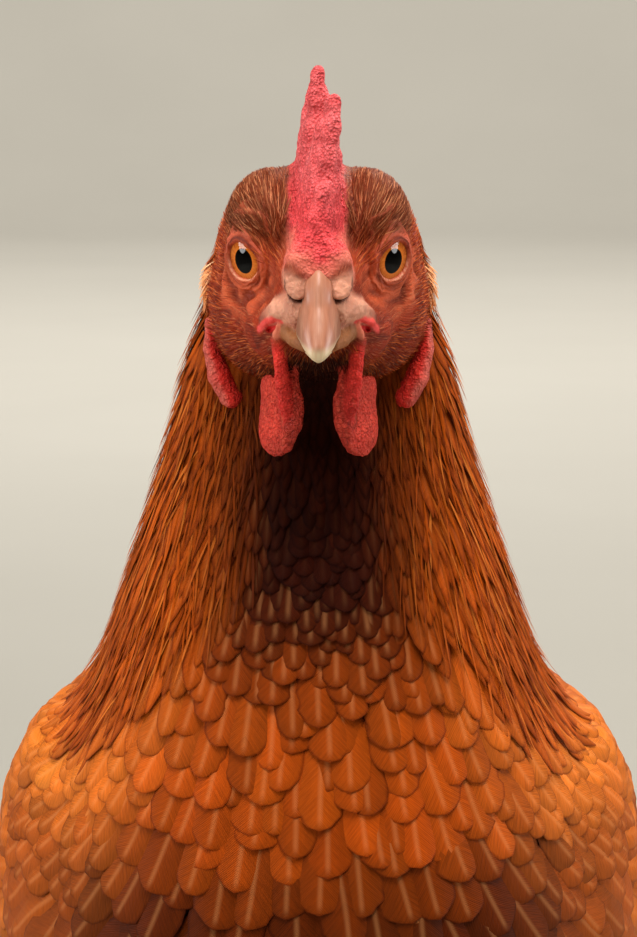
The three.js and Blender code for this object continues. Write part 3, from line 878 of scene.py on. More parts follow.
def horn_material():
    p = Paint(
        "horn", Roughness=0.42, Subsurface_Weight=0.1, Subsurface_Radius=(1.0, 0.6, 0.35),
        Subsurface_Scale=0.001
    )
    ahead, up, side = p.attr("ahead"), p.attr("up"), p.attr("side")
    colour = p.mix(p.span(ahead, 20.0, 30.0), rgb(166, 102, 74), rgb(172, 108, 80))
    colour = p.mix(p.times(p.span(side, 2.2, 0.2), p.span(up, -7.5, -2.0)), colour, rgb(180, 120, 92))
    colour = p.mix(p.times(p.span(side, 2.6, 4.6), 0.8), colour, rgb(128, 74, 44))
    colour = p.mix(p.span(up, -6.4, -8.4), colour, rgb(220, 196, 156))
    streak = p.noise(1.0, 3.0, p.vector(p.times(side, 1.5), p.times(up, 0.16), p.times(ahead, 0.16)))
    colour = p.mix(p.span(streak, 0.45, 0.7, 0.0, 0.35), colour, rgb(206, 152, 122))
    colour = p.mix(p.span(streak, 0.45, 0.25, 0.0, 0.35), colour, rgb(134, 84, 58))
    return p.use(Base_Color=colour, Normal=p.bump(streak, 0.00008, 0.5))


def claw_material():
    p = Paint("claw_horn", Roughness=0.4)
    streak = p.noise(420.0, 3.0)
    return p.use(
        Base_Color=p.mix(streak, rgb(150, 118, 84), rgb(216, 186, 144)), Normal=p.bump(streak, 0.0001, 0.4)
    )


def eye_material():
    p = Paint(
        "eye", Roughness=0.25, Specular_IOR_Level=0.0, Coat_Weight=0.38, Coat_IOR=1.36, Coat_Roughness=0.02
    )
    off, way = p.attr("off"), p.attr("way")
    round_pupil = [p.times(p.math(turn, way), 5.0) for turn in ("COSINE", "SINE")]
    fibre = p.noise(2.2, 4.0, p.vector(*round_pupil, p.times(off, 0.03)))
    colour = p.mix(p.span(off, 22.0, 38.0), rgb(208, 108, 36), rgb(158, 70, 22))
    colour = p.mix(p.span(fibre, 0.35, 0.7, 0.0, 0.45), colour, rgb(230, 138, 56))
    colour = p.mix(p.span(off, 24.2, 22.6), colour, (0.0005, 0.0003, 0.0003))
    colour = p.mix(p.span(off, 36.0, 41.0), colour, rgb(96, 44, 18))
    return p.use(Base_Color=colour)


def hair_material():
    p = Paint("fine_feather", Roughness=0.55, Specular_IOR_Level=0.05)
    streak = p.noise(900.0, 2.0)
    colour = p.tone(p.span(streak, 0.4, 0.7, 0.0, 0.35), p.attr("tint", "Color"), (1.5, 1.4, 1.3))
    return p.use(Base_Color=colour, Normal=p.bump(streak, 0.00005, 0.4))


def scale_material():
    p = Paint("leg_scale", Roughness=0.42, Specular_IOR_Level=0.35)
    streak = p.noise(380.0, 3.0)
    colour = p.tone(p.span(streak, 0.4, 0.75, 0.0, 0.5), p.attr("tint", "Color"), (0.8, 0.68, 0.5))
    colour = p.tone(p.times(p.span(p.attr("edge"), 0.45, 0.05), 0.6), colour, (0.42, 0.3, 0.18))
    return p.use(Base_Color=colour, Normal=p.bump(streak, 0.0001, 0.5))


MATERIALS = dict(
    scale=scale_material(),
    skin=skin_material(),
    horn=horn_material(),
    claw=claw_material(),
    eye=eye_material(),
    feather=feather_material(),
    hair=hair_material(),
)

# ---- Colours of the skin ----
FACE, RAW, LID = rgb(148, 42, 8), rgb(206, 88, 52), rgb(232, 164, 132)
COMB_RED, WATTLE_RED, LOBE_RED = rgb(255, 112, 114), rgb(252, 84, 66), rgb(255, 60, 50)
TAN, DOWNY, SHANK = rgb(218, 152, 124), rgb(92, 42, 18), rgb(208, 160, 84)

leg_top = hock_z + 8
scaly = smooth(leg_top + 5, leg_top - 3, place[:, 2])


crown_share = np.maximum(
    smooth(3, 9, head_z + 0.25 * np.minimum(head_y, 0)), smooth(-14, -22, head_y)
)
bag = smooth(12.5, 5, lid_reach) * smooth(0.25, -0.35, over_eye) * smooth(17, 13, far) * on_head
# Painted shade in the troughs of the wrinkles under each eye.
eye_bag_crease_shade = smooth(11, 6, lid_reach) * on_head * smooth(0.1, -0.5, crease) * smooth(0.2, -0.3, over_eye)
upper_fold = smooth(0.4, 1.2, lid_reach) * smooth(2.6, 1.6, lid_reach) * on_head * smooth(-0.1, 0.4, over_eye)
upper_line = smooth(0.9, 0.45, lid_reach) * smooth(
    -0.2, 0.15, lid_reach
) * smooth(0.2, 0.6, over_eye) * on_head
ear_colour = blend(rgb(238, 178, 128), smooth(-9, -15, head_z), rgb(206, 112, 46))
low_comb = smooth(10.5, 4.5, head_z + 1.2 * ripple(place_head, 51, 4) - 0.25 * np.abs(head_x) * 2)
comb_colour = blend(COMB_RED, smooth(24, 14, head_z) * 0.8, rgb(244, 76, 80))
comb_colour = blend(comb_colour, low_comb, rgb(230, 122, 102))
comb_colour = blend(comb_colour, smooth(5.5, 2.0, head_z + ripple(place_head, 52, 3)), TAN)
bare_cere = mask["cere"] * smooth(13.2, 9.6, np.abs(head_x)) * (1 - mask["comb"] * smooth(4, 7, head_z))
# Painted shade in the crease where each wattle's lobe meets its thick front band.
band_crease_shade = mask["wattles"] * near(np.abs(parts["band"] - 0.75), 0.0, 0.4) * smooth(-17, -20, head_z)
lobe_edge = smooth(-0.2, 0.9, normal[:, 0] * np.sign(place[:, 0]) + 0.2 * ripple(place_head, 53, 3))
flap_power = sum(
    np.abs((at - middle) / radius) ** FLAP_POWER
    for at, middle, radius in (
        (np.abs(head_x), FLAP_AT[0], FLAP_RADII[0]), (head_z, FLAP_AT[2], FLAP_RADII[2])
    )
)
flap_edge = 2.9 * (flap_power ** (1 / FLAP_POWER) - 1)
# Painted shade in the slit under each nostril flap.
nostril_shade = near(np.abs(flap_edge - 0.15), 0.22, 0.62) * smooth(5.2, 3.4, head_z) * smooth(19, 21, head_y)
# Painted shadow under the beak, between the wattles.
chin_shade = on_head * smooth(-11, -17, head_z) * smooth(10, 6, np.abs(head_x)) * (1 - mask["wattles"])
# Each layer's share and colour, from the lowest to the topmost.
layers = (
    (on_head, FACE),
    (on_head * crown_share, rgb(116, 50, 26)),
    # Painted shade under the head, darker towards the throat.
    (on_head * smooth(-18, -26, head_z), rgb(70, 26, 12)),
    (on_head * smooth(-13, -16, head_y) * smooth(-2, -6, head_z), rgb(206, 120, 62)),
    (mask["puffs"], ear_colour),
    (around_eye * 0.62 * (1 - 0.4 * crown_share) * (0.7 + 0.3 * crease), RAW),
    (eye_bag_crease_shade * 0.6, rgb(100, 28, 12)),
    (bag * 0.5 * (0.6 + 0.4 * crease), rgb(222, 106, 64)),
    (upper_fold * 0.6, rgb(216, 104, 76)),
    (upper_line * 0.7, rgb(92, 24, 12)),
    (bare_cere, TAN),
    (mask["comb"] * (1 - mask["cere"] * smooth(3, 1, head_z)), comb_colour),
    (mask["wattles"], blend(WATTLE_RED, mask["band"], rgb(255, 62, 54))),
    (band_crease_shade * 0.6, rgb(120, 14, 14)),
    (mask["lobes"], blend(LOBE_RED, lobe_edge * 0.6, rgb(250, 150, 130))),
    (mask["flaps"] * smooth(7, 4, head_z), TAN),
    (nostril_shade * 0.92, rgb(64, 26, 14)),
    (mask["ramus"], rgb(158, 100, 62)),
    (chin_shade * (1 - mask["ramus"]), rgb(44, 14, 8)),
    (mask["lip"], rgb(226, 74, 66)),
    (mask["inner_lip"], rgb(220, 120, 92)),
    (mask["mouth"], rgb(196, 34, 34)),
    (mask["rim"] * smooth(0.4, -0.3, over_eye) * 0.9, LID),
    (scaly, SHANK),
)
tint = DOWNY
for share, colour in layers:
    tint = blend(tint, share, colour)
tint = tint * (1 + 0.12 * ripple(place, 31, 9))[:, None]
attribute(skin, "red", red * (1 - 0.5 * low_comb * mask["comb"]))
attribute(skin, "leather", mask["wattles"] * (1 - mask["band"]) + 0.6 * mask["lobes"])
about = np.arctan2(head_x, head_z + 5)
ring = np.hypot(head_x, head_z + 5)
strand = np.stack([about * 20 / 0.42, (ring - head_y) / 5, 0 * ring], -1)
attribute(
    skin, "strand",
    strand + 0.8 * np.stack([ripple(place_head, 41, 7), ripple(place_head, 42, 7), 0 * ring], -1)
)
bare = np.clip(
    red + tan_skin + mask["lip"] + mask["mouth"] + mask["ramus"] + mask["inner_lip"] + mask["rim"], 0, 1
)
attribute(
    skin, "tan",
    np.clip(tan_skin + mask["ramus"] + around_eye * smooth(7.5, 4, lid_reach) * (1 - crown_share), 0, 1)
)
attribute(skin, "lidway", lid_reach)
attribute(skin, "downy", on_head * (1 - bare) * (1 - 0.8 * around_eye * smooth(4.5, 2.5, lid_reach)))
attribute(skin, "scaly", scaly)

# Where each point of a leg lies along and round it, for the rows of scales.
lie = np.zeros((len(place), 3))
for side, sign in SIDES:
    hock, foot = BONES[side]
    mine = (place[:, 2] < leg_top + 8) & (place[:, 0] * sign > 0)
    x, y, z = place[mine].T
    run = unit(foot - hock)
    d = place[mine] - hock
    down = d @ run
    out = d - down[:, None] * run
    round_leg = np.arctan2(out[:, 0] * sign, -out[:, 1])
    reach = np.hypot(x - foot[0], y - foot[1])
    on_toe = smooth(16, 10, z) * smooth(9, 14, reach) > 0.5
    lie[mine, 0] = np.where(on_toe, 0.25 + z / 40, round_leg * 1.15 / math.pi * 2)
    lie[mine, 1] = np.where(on_toe, reach / 5.2, down / 8.6)
attribute(skin, "lie", lie)
skin.data.materials.clear()

# ---- What each piece is ----
RED_NODES = ["comb"] + [f"{part}_{side}" for part in ("wattle", "ear_lobe") for side, _ in SIDES]
pieces = [
    (skin, "face", "skin", FLESH + RED_NODES + LEG_NODES),
    (beak_upper, "horn", "horn", ["beak_upper"]),
    (beak_lower, "horn", "horn", ["beak_lower"]),
]
for side, _ in SIDES:
    pieces.append((eyes[side], "eye", "eye", [f"eye_{side}"]))
    pieces.append((claws[side], "claw", "claw", claw_nodes[side]))
for thing, slot, key, nodes in pieces:
    thing.data.materials.append(MATERIALS[key])
    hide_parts(*nodes)
    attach(thing, "root")

# ---- The coat: every feather is a thin vane laid over the skin ----
HOCKS = {side: BONES[side][0] for side, _ in SIDES}
THIGHS = {}
for side, sign in SIDES:
    thigh_low, thigh_high = corners(f"thigh_{side}")
    THIGHS[side] = np.array(
        [(thigh_low[0] + thigh_high[0]) / 2 - 5 * sign, thigh_low[1] + 30, thigh_high[2]]
    )

wing_shape = {}
for side, sign in SIDES:
    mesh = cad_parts[f"wing_{side}"].data
    spots = np.array([v.co[:] for v in mesh.vertices]) * 1000
    bins = np.linspace(spots[:, 1].min(), spots[:, 1].max(), 18)
    middle, top, bottom = [], [], []
    for a, b in zip(bins, bins[1:]):
        inside = spots[(spots[:, 1] >= a - 4) & (spots[:, 1] <= b + 4)]
        if len(inside):
            middle.append((a + b) / 2)
            top.append(inside[:, 2].max())
            bottom.append(inside[:, 2].min())
    wing_shape[side] = tuple(np.array(v) for v in (middle, top, bottom))
WING_Y, WING_TOP, WING_BOTTOM = wing_shape["left"]
WING_FRONT, WING_REAR = corners("wing_left")[0][1], corners("wing_left")[1][1]


def wing_share(p):
    """1 where a place is on the folded wing, seen from the side, and 0 off it."""
    top = np.interp(p[..., 1], WING_Y, WING_TOP)
    bottom = np.interp(p[..., 1], WING_Y, WING_BOTTOM)
    inside = np.minimum(np.minimum(top - p[..., 2], p[..., 2] - bottom), p[..., 1] - WING_FRONT - 30)
    return smooth(2, 9, inside) * smooth(28, 40, np.abs(p[..., 0]))


def tail_share(p):
    """1 on the flanks of the tail, where its quills lie."""
    past = smooth(
        0, 14, (p - np.array([0, tail_low[1] + 30, tail_low[2] + 40])) @ unit(np.array([0, 1, 0.55]))
    )
    return past * smooth(0.3, 0.6, np.abs(body_field.normal(p)[..., 0]))


def thigh_share(p):
    best = np.zeros(p.shape[:-1])
    for side, sign in SIDES:
        a, b = THIGHS[side], HOCKS[side]
        t = np.clip((p - a) @ (b - a) / ((b - a) @ (b - a)), 0, 1)
        gap = np.linalg.norm(p - a - t[..., None] * (b - a), axis=-1)
        best = np.maximum(best, smooth(42, 30, gap) * smooth(a[2] + 4, a[2] - 22, p[..., 2]))
    return best


def lie_of(p):
    """Which way the coat lies: down the axis of neck and trunk, and down the thighs."""
    run = along_axis(p)[0]
    legs = np.where(
        p[..., :1] > 0, unit(HOCKS["left"] - THIGHS["left"]), unit(HOCKS["right"] - THIGHS["right"])
    )
    share = thigh_share(p)[..., None]
    return unit(run * (1 - share) + legs * share)


def flank(y, z, level, sign):
    """The place at y and z where, coming in from one side, the outline has that level."""
    p = np.stack([np.full(np.shape(y), 112.0), y, z], -1) * np.array([sign, 1, 1])
    for _ in range(36):
        step = np.clip(body_field.at(p) - level, -3, 14) * 0.85
        p[..., 0] = sign * np.maximum(sign * p[..., 0] - step, 0.6)
    return p


def trace(lay, root, way, length, shares, low, high, pull=None, follow=0.3, rise=0.8):
    """Centre lines over a form, from level low at the root to high at the tip."""
    line, ways, norms = [], [], []
    p, d = root, way
    for i, share in enumerate(shares):
        if i:
            p = p + d * (length * (share - shares[i - 1]))[:, None]
            p = lay.settle(p, low + (high - low) * share**rise, 1)
            if pull is not None:
                d = lerp(d, pull(p), follow)
        n = lay.normal(p)
        d = unit(d - n * dot(d, n)[..., None])
        line.append(p)
        ways.append(d)
        norms.append(n)
    return np.stack(line, 1), np.stack(ways, 1), np.stack(norms, 1)


FULL = np.array([0, 0.2, 0.4, 0.58, 0.7, 0.79, 0.865, 0.925, 0.97, 1.0])
SLIM = np.array([0, 0.25, 0.5, 0.7, 0.86, 0.95, 1.0])
HAIR = np.array([0, 0.4, 0.75, 1.0])


def outline(shares, point):
    """Half widths along a feather, from 0 to 1: round-ended where point is 0, and tapering where it is 1."""
    t = shares[None, :]
    swell = lerp(0.3, 1, smooth(0, 0.5, t))
    tip = np.clip((t - 0.74) / 0.26, 0, 1)
    blunt = swell * np.maximum(1 - tip**2.1, 0) ** 0.56
    sharp = lerp(0.4, 1, smooth(0, 0.42, t)) * (1 - np.clip((t - 0.42) / 0.58, 0, 1) ** 1.5 * 0.985)
    return np.maximum(lerp(blunt, sharp, np.asarray(point, float)[:, None]), 0.035)


PIECE_LIMIT = 180_000  # triangles in one piece of the coat
PATCH = 0.003  # how far each feather reaches across on the OFBake map


def vanes(name, nodes, line, ways, norms, half, tint, bake, columns=5, camber=0.16, roll=0.05,
          shaft=0.5, lay=None, level=None, ragged=0.06, material="feather"):
    """Makes one feather for each centre line, and joins them in pieces."""
    number, rows = half.shape
    local = np.random.default_rng(len(name) * 7 + number)
    s = np.linspace(-1, 1, columns)
    across = np.cross(norms, ways)
    spread = s * half[..., None] * (1 + ragged * local.normal(size=(number, rows, columns)) * np.abs(s) ** 3)
    drop = camber * half[..., None] * s**2 + spread * (roll * local.normal(size=number))[:, None, None]
    points = line[:, :, None] + across[:, :, None] * spread[..., None]
    if lay is None:
        points = points - norms[:, :, None] * drop[..., None]
    else:
        points = lay.settle(points, level[..., None] - drop, 1)
    steps = np.linalg.norm(np.diff(line, axis=1), axis=-1)
    reach = np.concatenate([np.zeros((number, 1)), np.cumsum(steps, axis=1)], 1)
    edge = np.minimum((1 - np.abs(s)) * half[..., None], 1.1 * (reach[:, -1:] - reach)[..., None])
    vane = np.stack([0.5 + spread / 10, np.broadcast_to(reach[..., None] / 10, spread.shape)], -1)
    t = reach / reach[:, -1:]
    patch = [np.broadcast_to(x * PATCH, spread.shape) for x in (s / 2, t[..., None] - 0.5)]
    patch = np.stack(patch, -1)
    patch = patch + np.clip(bake, 0.004, 0.996)[:, None, None]
    if tint.ndim == 2:
        tint = np.broadcast_to(tint[:, None], (number, rows, 3))
    cell = np.arange(rows - 1)[:, None] * columns + np.arange(columns - 1)
    quads = np.stack([cell, cell + 1, cell + columns + 1, cell + columns], -1).reshape(-1, 4)
    per = rows * columns
    limit = PIECE_LIMIT // (2 * len(quads))
    order = np.argsort(bake[:, 0] + 0.1 * bake[:, 1])
    chance = local.uniform(0, 1, number)
    for i in range(0, number, limit):
        pick = order[i : i + limit]
        count = len(pick)
        faces = (quads[None] + (np.arange(count) * per)[:, None, None]).reshape(-1, 4)
        label = name if number <= limit else f"{name}_{i // limit + 1}"
        thing = mesh_object(label, points[pick].reshape(-1, 3), faces)
        attribute(thing, "tint", np.repeat(tint[pick].reshape(-1, 3), columns, axis=0))
        attribute(thing, "edge", edge[pick].ravel())
        attribute(thing, "chance", np.repeat(chance[pick] * 10, per))
        attribute(thing, "shaft", np.repeat(np.broadcast_to(shaft, number)[pick], per))
        uv_map(thing, "OFBake", patch[pick].reshape(-1, 2))
        uv_map(thing, "vane", vane[pick].reshape(-1, 2))
        thing.data.materials.append(MATERIALS[material])
        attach(thing, "root")
        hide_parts(*nodes)


NEIGHBOURS = [(x, y, z) for x in (-1, 0, 1) for y in (-1, 0, 1) for z in (-1, 0, 1)]


def spaced(candidates, gaps):
    """Which candidates to keep, in order, so that each is at least its gap from those already kept."""
    cell = float(gaps.max())
    kept, table = [], {}
    keys = np.floor(candidates / cell).astype(int)
    for i, (p, key, gap) in enumerate(zip(candidates.tolist(), map(tuple, keys.tolist()), gaps.tolist())):
        if all(
            (p[0] - q[0]) ** 2 + (p[1] - q[1]) ** 2 + (p[2] - q[2]) ** 2 >= gap * gap
            for dx, dy, dz in NEIGHBOURS
            for q in table.get((key[0] + dx, key[1] + dy, key[2] + dz), ())
        ):
            table.setdefault(key, []).append(p)
            kept.append(i)
    return np.array(kept, int)


def skin_spots(number, seed, wanted=None):
    """Places spread at random over the skin, or over its wanted points, with the nearest point's number."""
    mesh = skin.data
    mesh.calc_loop_triangles()
    corner = np.zeros(len(mesh.loop_triangles) * 3, np.int32)
    mesh.loop_triangles.foreach_get("vertices", corner)
    corner = corner.reshape(-1, 3)
    p = points_of(skin)
    a, b, c = p[corner[:, 0]], p[corner[:, 1]], p[corner[:, 2]]
    area = np.linalg.norm(np.cross(b - a, c - a), axis=1)
    if wanted is not None:
        area = area * wanted[corner[:, 0]]
    local = np.random.default_rng(seed)
    pick = np.searchsorted(np.cumsum(area) / area.sum(), local.uniform(size=number))
    u, v = np.sqrt(local.uniform(size=number)), local.uniform(size=number)
    spot = a[pick] * (1 - u)[:, None] + b[pick] * (u * (1 - v))[:, None] + c[pick] * (u * v)[:, None]
    return spot, corner[pick, 0]


def axis_at(length):
    at = np.stack([np.interp(length, AXIS_LENGTH, AXIS_AT[:, k]) for k in range(3)], -1)
    run = unit(np.stack([np.interp(length, AXIS_LENGTH, AXIS_RUN[:, k]) for k in range(3)], -1))
    return at, run


def ring_spots(lengths, count, seed):
    """Staggered rows of places round the neck and trunk."""
    local = np.random.default_rng(seed)
    k = np.arange(len(lengths))[:, None]
    angle = (np.arange(count)[None, :] + 0.5 * (k % 2)) / count * 2 * math.pi - math.pi
    angle = angle + local.normal(size=angle.shape) * 0.14 * 2 * math.pi / count
    where = np.asarray(lengths)[:, None] + local.normal(size=angle.shape) * 0.7
    at, run = axis_at(where)
    front = front_of(run)
    way = front * np.cos(angle)[..., None] + np.array([1.0, 0, 0]) * np.sin(angle)[..., None]
    out = np.full(angle.shape, 120.0)
    for _ in range(40):
        out = np.maximum(out - 0.8 * np.clip(body_field.at(at + way * out[..., None]) + BED, -3, 14), 1)
    return (at + way * out[..., None])[out > 8]


BED = 2.6  # how deep the feathers' roots lie, under the feathers' tips

# The hackle's lower edge, below the head's middle, from the front of the neck round to the nape.
CAPE_ANGLE = np.radians([0, 20, 40, 65, 90, 130, 180])
CAPE_DROP = np.array([-64, -68, -92, -118, -122, -112, -100.0])

BREAST, BREAST_LOW_SHADE, HACKLE, THROAT_DARK_AND_SHADE = rgb(154, 64, 8), rgb(78, 28, 2), rgb(172, 74, 8), rgb(36, 5, 1)
BACK, FLUFF, THIGH, SHOULDER = rgb(142, 62, 16), rgb(196, 122, 58), rgb(158, 76, 22), rgb(198, 106, 34)
TAIL, QUILL = rgb(112, 50, 22), rgb(146, 68, 26)


def coat_traits(p):
    """Gap, length, width, point and colour of the feathers rooted at body places."""
    _, length, angle = along_axis(p)
    turn = np.abs(angle)
    rise = p[..., 2] - HEAD[2]
    lower = np.interp(turn, CAPE_ANGLE, CAPE_DROP)
    neck = smooth(lower + 8, lower + 30, rise)
    front = smooth(1.3, 0.6, turn)
    back = smooth(1.7, 2.5, turn)
    low = smooth(150, 250, length)
    thigh = thigh_share(p)
    vent = smooth(1.6, 1.0, turn) * smooth(290, 340, length)
    hackle_down = [-125, -90, -60, -30, -10]
    gap = np.interp(rise, hackle_down, [4.8, 3.9, 2.9, 2.2, 1.9])
    gap = lerp(gap, np.interp(rise, [-140, -97, -74, -40, -15], [9.2, 6.6, 4.3, 2.9, 2.6]), front)
    gap = np.where(rise < -140, 9.4, gap)
    gap = lerp(gap, np.maximum(gap, 6.4), (1 - neck) * (1 - front))
    gap = lerp(gap, 8.4, back * (1 - neck))
    gap = lerp(gap, 7.4, thigh)
    span = lerp(3.2 * gap, np.interp(rise, hackle_down, [36, 30, 22, 14, 10]), neck * (1 - 0.8 * front))
    span = lerp(span, 3.6 * gap, neck * front)
    width = lerp(1.55 * gap, 1.3 * gap, neck)
    point = neck * lerp(1, 0.8, front)
    # The breast darkens downward: painted shade where the light from above falls off.
    colour = blend(BREAST, smooth(-104, -132, rise), BREAST_LOW_SHADE)
    flanks = blend(SHOULDER, smooth(-108, -132, rise), THIGH)
    for share, other in (
        (smooth(0.6, 1.35, turn) * (1 - back) * (1 - low), flanks),
        (low * (1 - back), THIGH),
        (back, BACK),
        (vent, FLUFF),
        (thigh, THIGH),
        (neck, HACKLE),
    ):
        colour = blend(colour, share, other)
    # The front of the neck under the head: darker feathers, with the deep shade under the head painted into
    # their colour as well.
    wide = lerp(1.15, 1.75, smooth(-70, -30, rise))
    throat_shade = smooth(wide, 0.35 * wide, turn) * smooth(-98, -62, rise) * 0.97
    colour = blend(colour, throat_shade, THROAT_DARK_AND_SHADE)
    deep = np.maximum(wing_share(p), tail_share(p))
    gap = lerp(gap, 9.0, deep)
    width = lerp(width, 13.0, deep)
    colour = blend(colour, deep * 0.6, lerp(BACK, TAIL, 0.4))
    return gap, span, width, point, colour, neck, deep


# The skin under the coat has the coat's own colours.
clothed = (1 - on_head) * (1 - scaly)
tint = blend(tint, clothed, coat_traits(place)[4] * 0.8)
attribute(skin, "tint", np.clip(tint, 0, 1))


def before_nape(q):
    """Where places in the head's frame lie before the line from the ears down the nape."""
    return q[:, 1] > -15 - 0.25 * (q[:, 2] + 20)


def body_roots():
    neck_rows = np.concatenate([np.arange(6, 60, 1.5), np.arange(60, 136, 2.4)])
    rings = ring_spots(neck_rows, 112, 3)
    breast_rows = np.arange(84, 420, 5.6)
    broad = ring_spots(breast_rows, 48, 4)
    spots = skin_spots(60_000, 5)[0]
    rows = np.concatenate([rings, broad, spots])
    fill = np.concatenate([np.full(len(rings), 0.62), np.full(len(broad), 0.58), np.full(len(spots), 0.68)])
    kind = np.concatenate([np.ones(len(rings)), np.zeros(len(broad)), np.full(len(spots), 0.5)])
    rows = body_field.settle(rows, -BED, 2)
    gap = coat_traits(rows)[0]
    turning = thigh_share(rows)
    fill = fill * lerp(1, 0.62, smooth(0.0, 0.15, turning) * smooth(1.0, 0.85, turning))
    q = to_head(rows)
    legal = rows[:, 2] > hock_z + 6
    legal &= np.where(kind == 1, gap < 5.4, np.where(kind == 0, gap > 4.6, True))
    legal &= ~((q[:, 2] > -21) & before_nape(q)) & (q[:, 2] < 4)
    legal &= (rows - np.array([0, tail_low[1] + 30, tail_low[2] + 40])) @ unit(np.array([0, 1, 0.55])) < 52
    legal &= np.abs(body_field.at(rows) + BED) < 1.0
    rows, gap, fill = rows[legal], gap[legal], fill[legal]
    return rows[spaced(rows, gap * fill)]


def unwrap(p):
    _, length, angle = along_axis(p)
    return np.stack([0.5 + angle / (2 * math.pi) * 0.97, 0.02 + 0.96 * length / AXIS_LENGTH[-1]], -1)


def varied(colour, seed, amount=0.14, drift=0.1):
    local = np.random.default_rng(seed)
    n = len(colour)
    out = colour * np.exp(amount * local.normal(size=(n, 1)))
    return np.clip(out * np.exp(drift * local.normal(size=(n, 1)) * np.array([-0.1, 0.5, 1.0])), 0, 1)


roots = body_roots()
_, span, width, point, colour, neck, deep = coat_traits(roots)
local = np.random.default_rng(17)
span = span * local.uniform(0.9, 1.12, len(roots))
width = width * local.uniform(0.88, 1.14, len(roots))
way = lie_of(roots) + 0.09 * local.normal(size=roots.shape)
start = body_field.at(roots) - 2.6 * deep
# Where the throat is dark with its painted shade, the feathers get no pale shafts.
shaded_throat = smooth(0.06, 0.02, colour[:, 0])
for name, slot, pick, shares, columns in (
    ("hackle", "hackle", neck > 0.5, SLIM, 5),
    ("body_coat", "plumage", neck <= 0.5, FULL, 7),
):
    n = int(pick.sum())
    first = start[pick][:, None]
    last = -0.45 + 0.25 * local.normal(size=(n, 1)) - 3.3 * deep[pick][:, None]
    line, ways, norms = trace(
        body_field, roots[pick], way[pick], span[pick], shares, start[pick], last[:, 0],
        pull=lie_of, follow=0.25,
    )
    half = outline(shares, point[pick]) * width[pick][:, None] / 2
    vanes(
        name, FLESH, line, ways, norms, half, varied(colour[pick], 3, 0.13, 0.05), unwrap(roots[pick]),
        columns=columns, lay=body_field, level=first + (last - first) * shares[None, :] ** 0.8,
        shaft=(0.34 if slot == "plumage" else 0.25) * (1 - shaded_throat[pick]),
    )

# The hackles' loose tips: thin strands over the neck and behind the cheeks.
STRAND_DEPTH, STRAND_RISE = 1.1, [-110, -60, -10]
around_neck = (head_z < 2) & (head_z > -104) & (place[:, 1] < HEAD[1] + 95)
spots = skin_spots(30_000, 15, around_neck)[0]
spots = body_field.settle(spots, -STRAND_DEPTH, 2)
q = to_head(spots)
loose = (q[:, 2] < -28) | ~before_nape(q)
loose &= np.abs(body_field.at(spots) + STRAND_DEPTH) < 0.5
spots = spots[loose]
colour, neck = coat_traits(spots)[4:6]
rise = spots[:, 2] - HEAD[2]
keep = (neck > 0.55) & (colour[:, 0] > 0.06)
spots, colour, rise = spots[keep], colour[keep], rise[keep]
index = spaced(spots, np.interp(rise, STRAND_RISE, [3.0, 2.0, 1.4]))
spots, colour, rise = spots[index], colour[index], rise[index]
n = len(spots)
local = np.random.default_rng(19)
light = local.uniform(size=(n, 1)) ** 4 * smooth(0.1, 0.35, colour[:, :1])
strand_tint = lerp(colour * local.uniform(0.7, 1.15, (n, 1)), rgb(222, 132, 52), light * 0.5)
line, ways, norms = trace(
    body_field, spots, lie_of(spots) + 0.14 * local.normal(size=(n, 3)), np.interp(
        rise, STRAND_RISE, [20, 15, 8]
    ),
    HAIR, np.full(n, -STRAND_DEPTH), local.uniform(-0.3, 0.7, n), pull=lie_of, follow=0.25,
)
half = outline(HAIR, np.full(n, 1.0)) * local.uniform(0.35, 0.75, n)[:, None] / 2
vanes(
    "hackle_strands", FLESH, line, ways, norms, half, strand_tint, unwrap(spots),
    columns=3, camber=0.3, roll=0.2,
    shaft=0.0, ragged=0.0, material="hair",
)

# ---- Wings and tail: larger feathers in rows on the flanks ----
def flank_patch(start):
    """Where roots given as (y, z) lie on the unwrap of the skin seen from the side."""
    return np.stack([0.5 + 0.47 * start[:, 0] / 180, 0.02 + 0.9 * start[:, 1] / 400], -1)


def flank_vanes(name, nodes, sign, start, end, width, low, high, colour, point=0.1, bow=0.0,
                columns=7, shaft=0.35, seed=0, margin=4.0):
    """Feathers between places given as (y, z) on one side, whose middles keep a margin from the outline."""
    t = FULL[None, :]
    yz = start[:, None] + (end - start)[:, None] * t[..., None]
    yz[..., 1] += np.asarray(bow)[..., None] * 4 * t * (1 - t)
    middle = np.concatenate([0 * yz[..., :1], yz], -1)
    inward = np.where(
        (body_field.at(middle) > -margin)[..., None], body_field.settle(middle, -margin, 3), middle
    )
    yz = inward[..., 1:]
    low, high = np.broadcast_to(low, len(start))[:, None], np.broadcast_to(high, len(start))[:, None]
    level = lerp(low, high, smooth(0.1, 0.8, t))
    line = flank(yz[..., 0], yz[..., 1], level, sign)
    norms = body_field.normal(line)
    ways = np.gradient(line, axis=1)
    ways = unit(ways - norms * dot(ways, norms)[..., None])
    half = outline(FULL, np.full(len(start), point)) * width / 2
    vanes(
        name, nodes, line, ways, norms, half, varied(colour, seed + 5, 0.1, 0.06), flank_patch(start),
        columns=columns, camber=0.1, roll=0.02, lay=body_field, level=level, shaft=shaft, ragged=0.035,
    )


def on_wing(y, share):
    """The height on the wing at y, from its top edge, 0, to its bottom edge, 1."""
    top, bottom = np.interp(y, WING_Y, WING_TOP), np.interp(y, WING_Y, WING_BOTTOM)
    return top + (bottom - top) * share


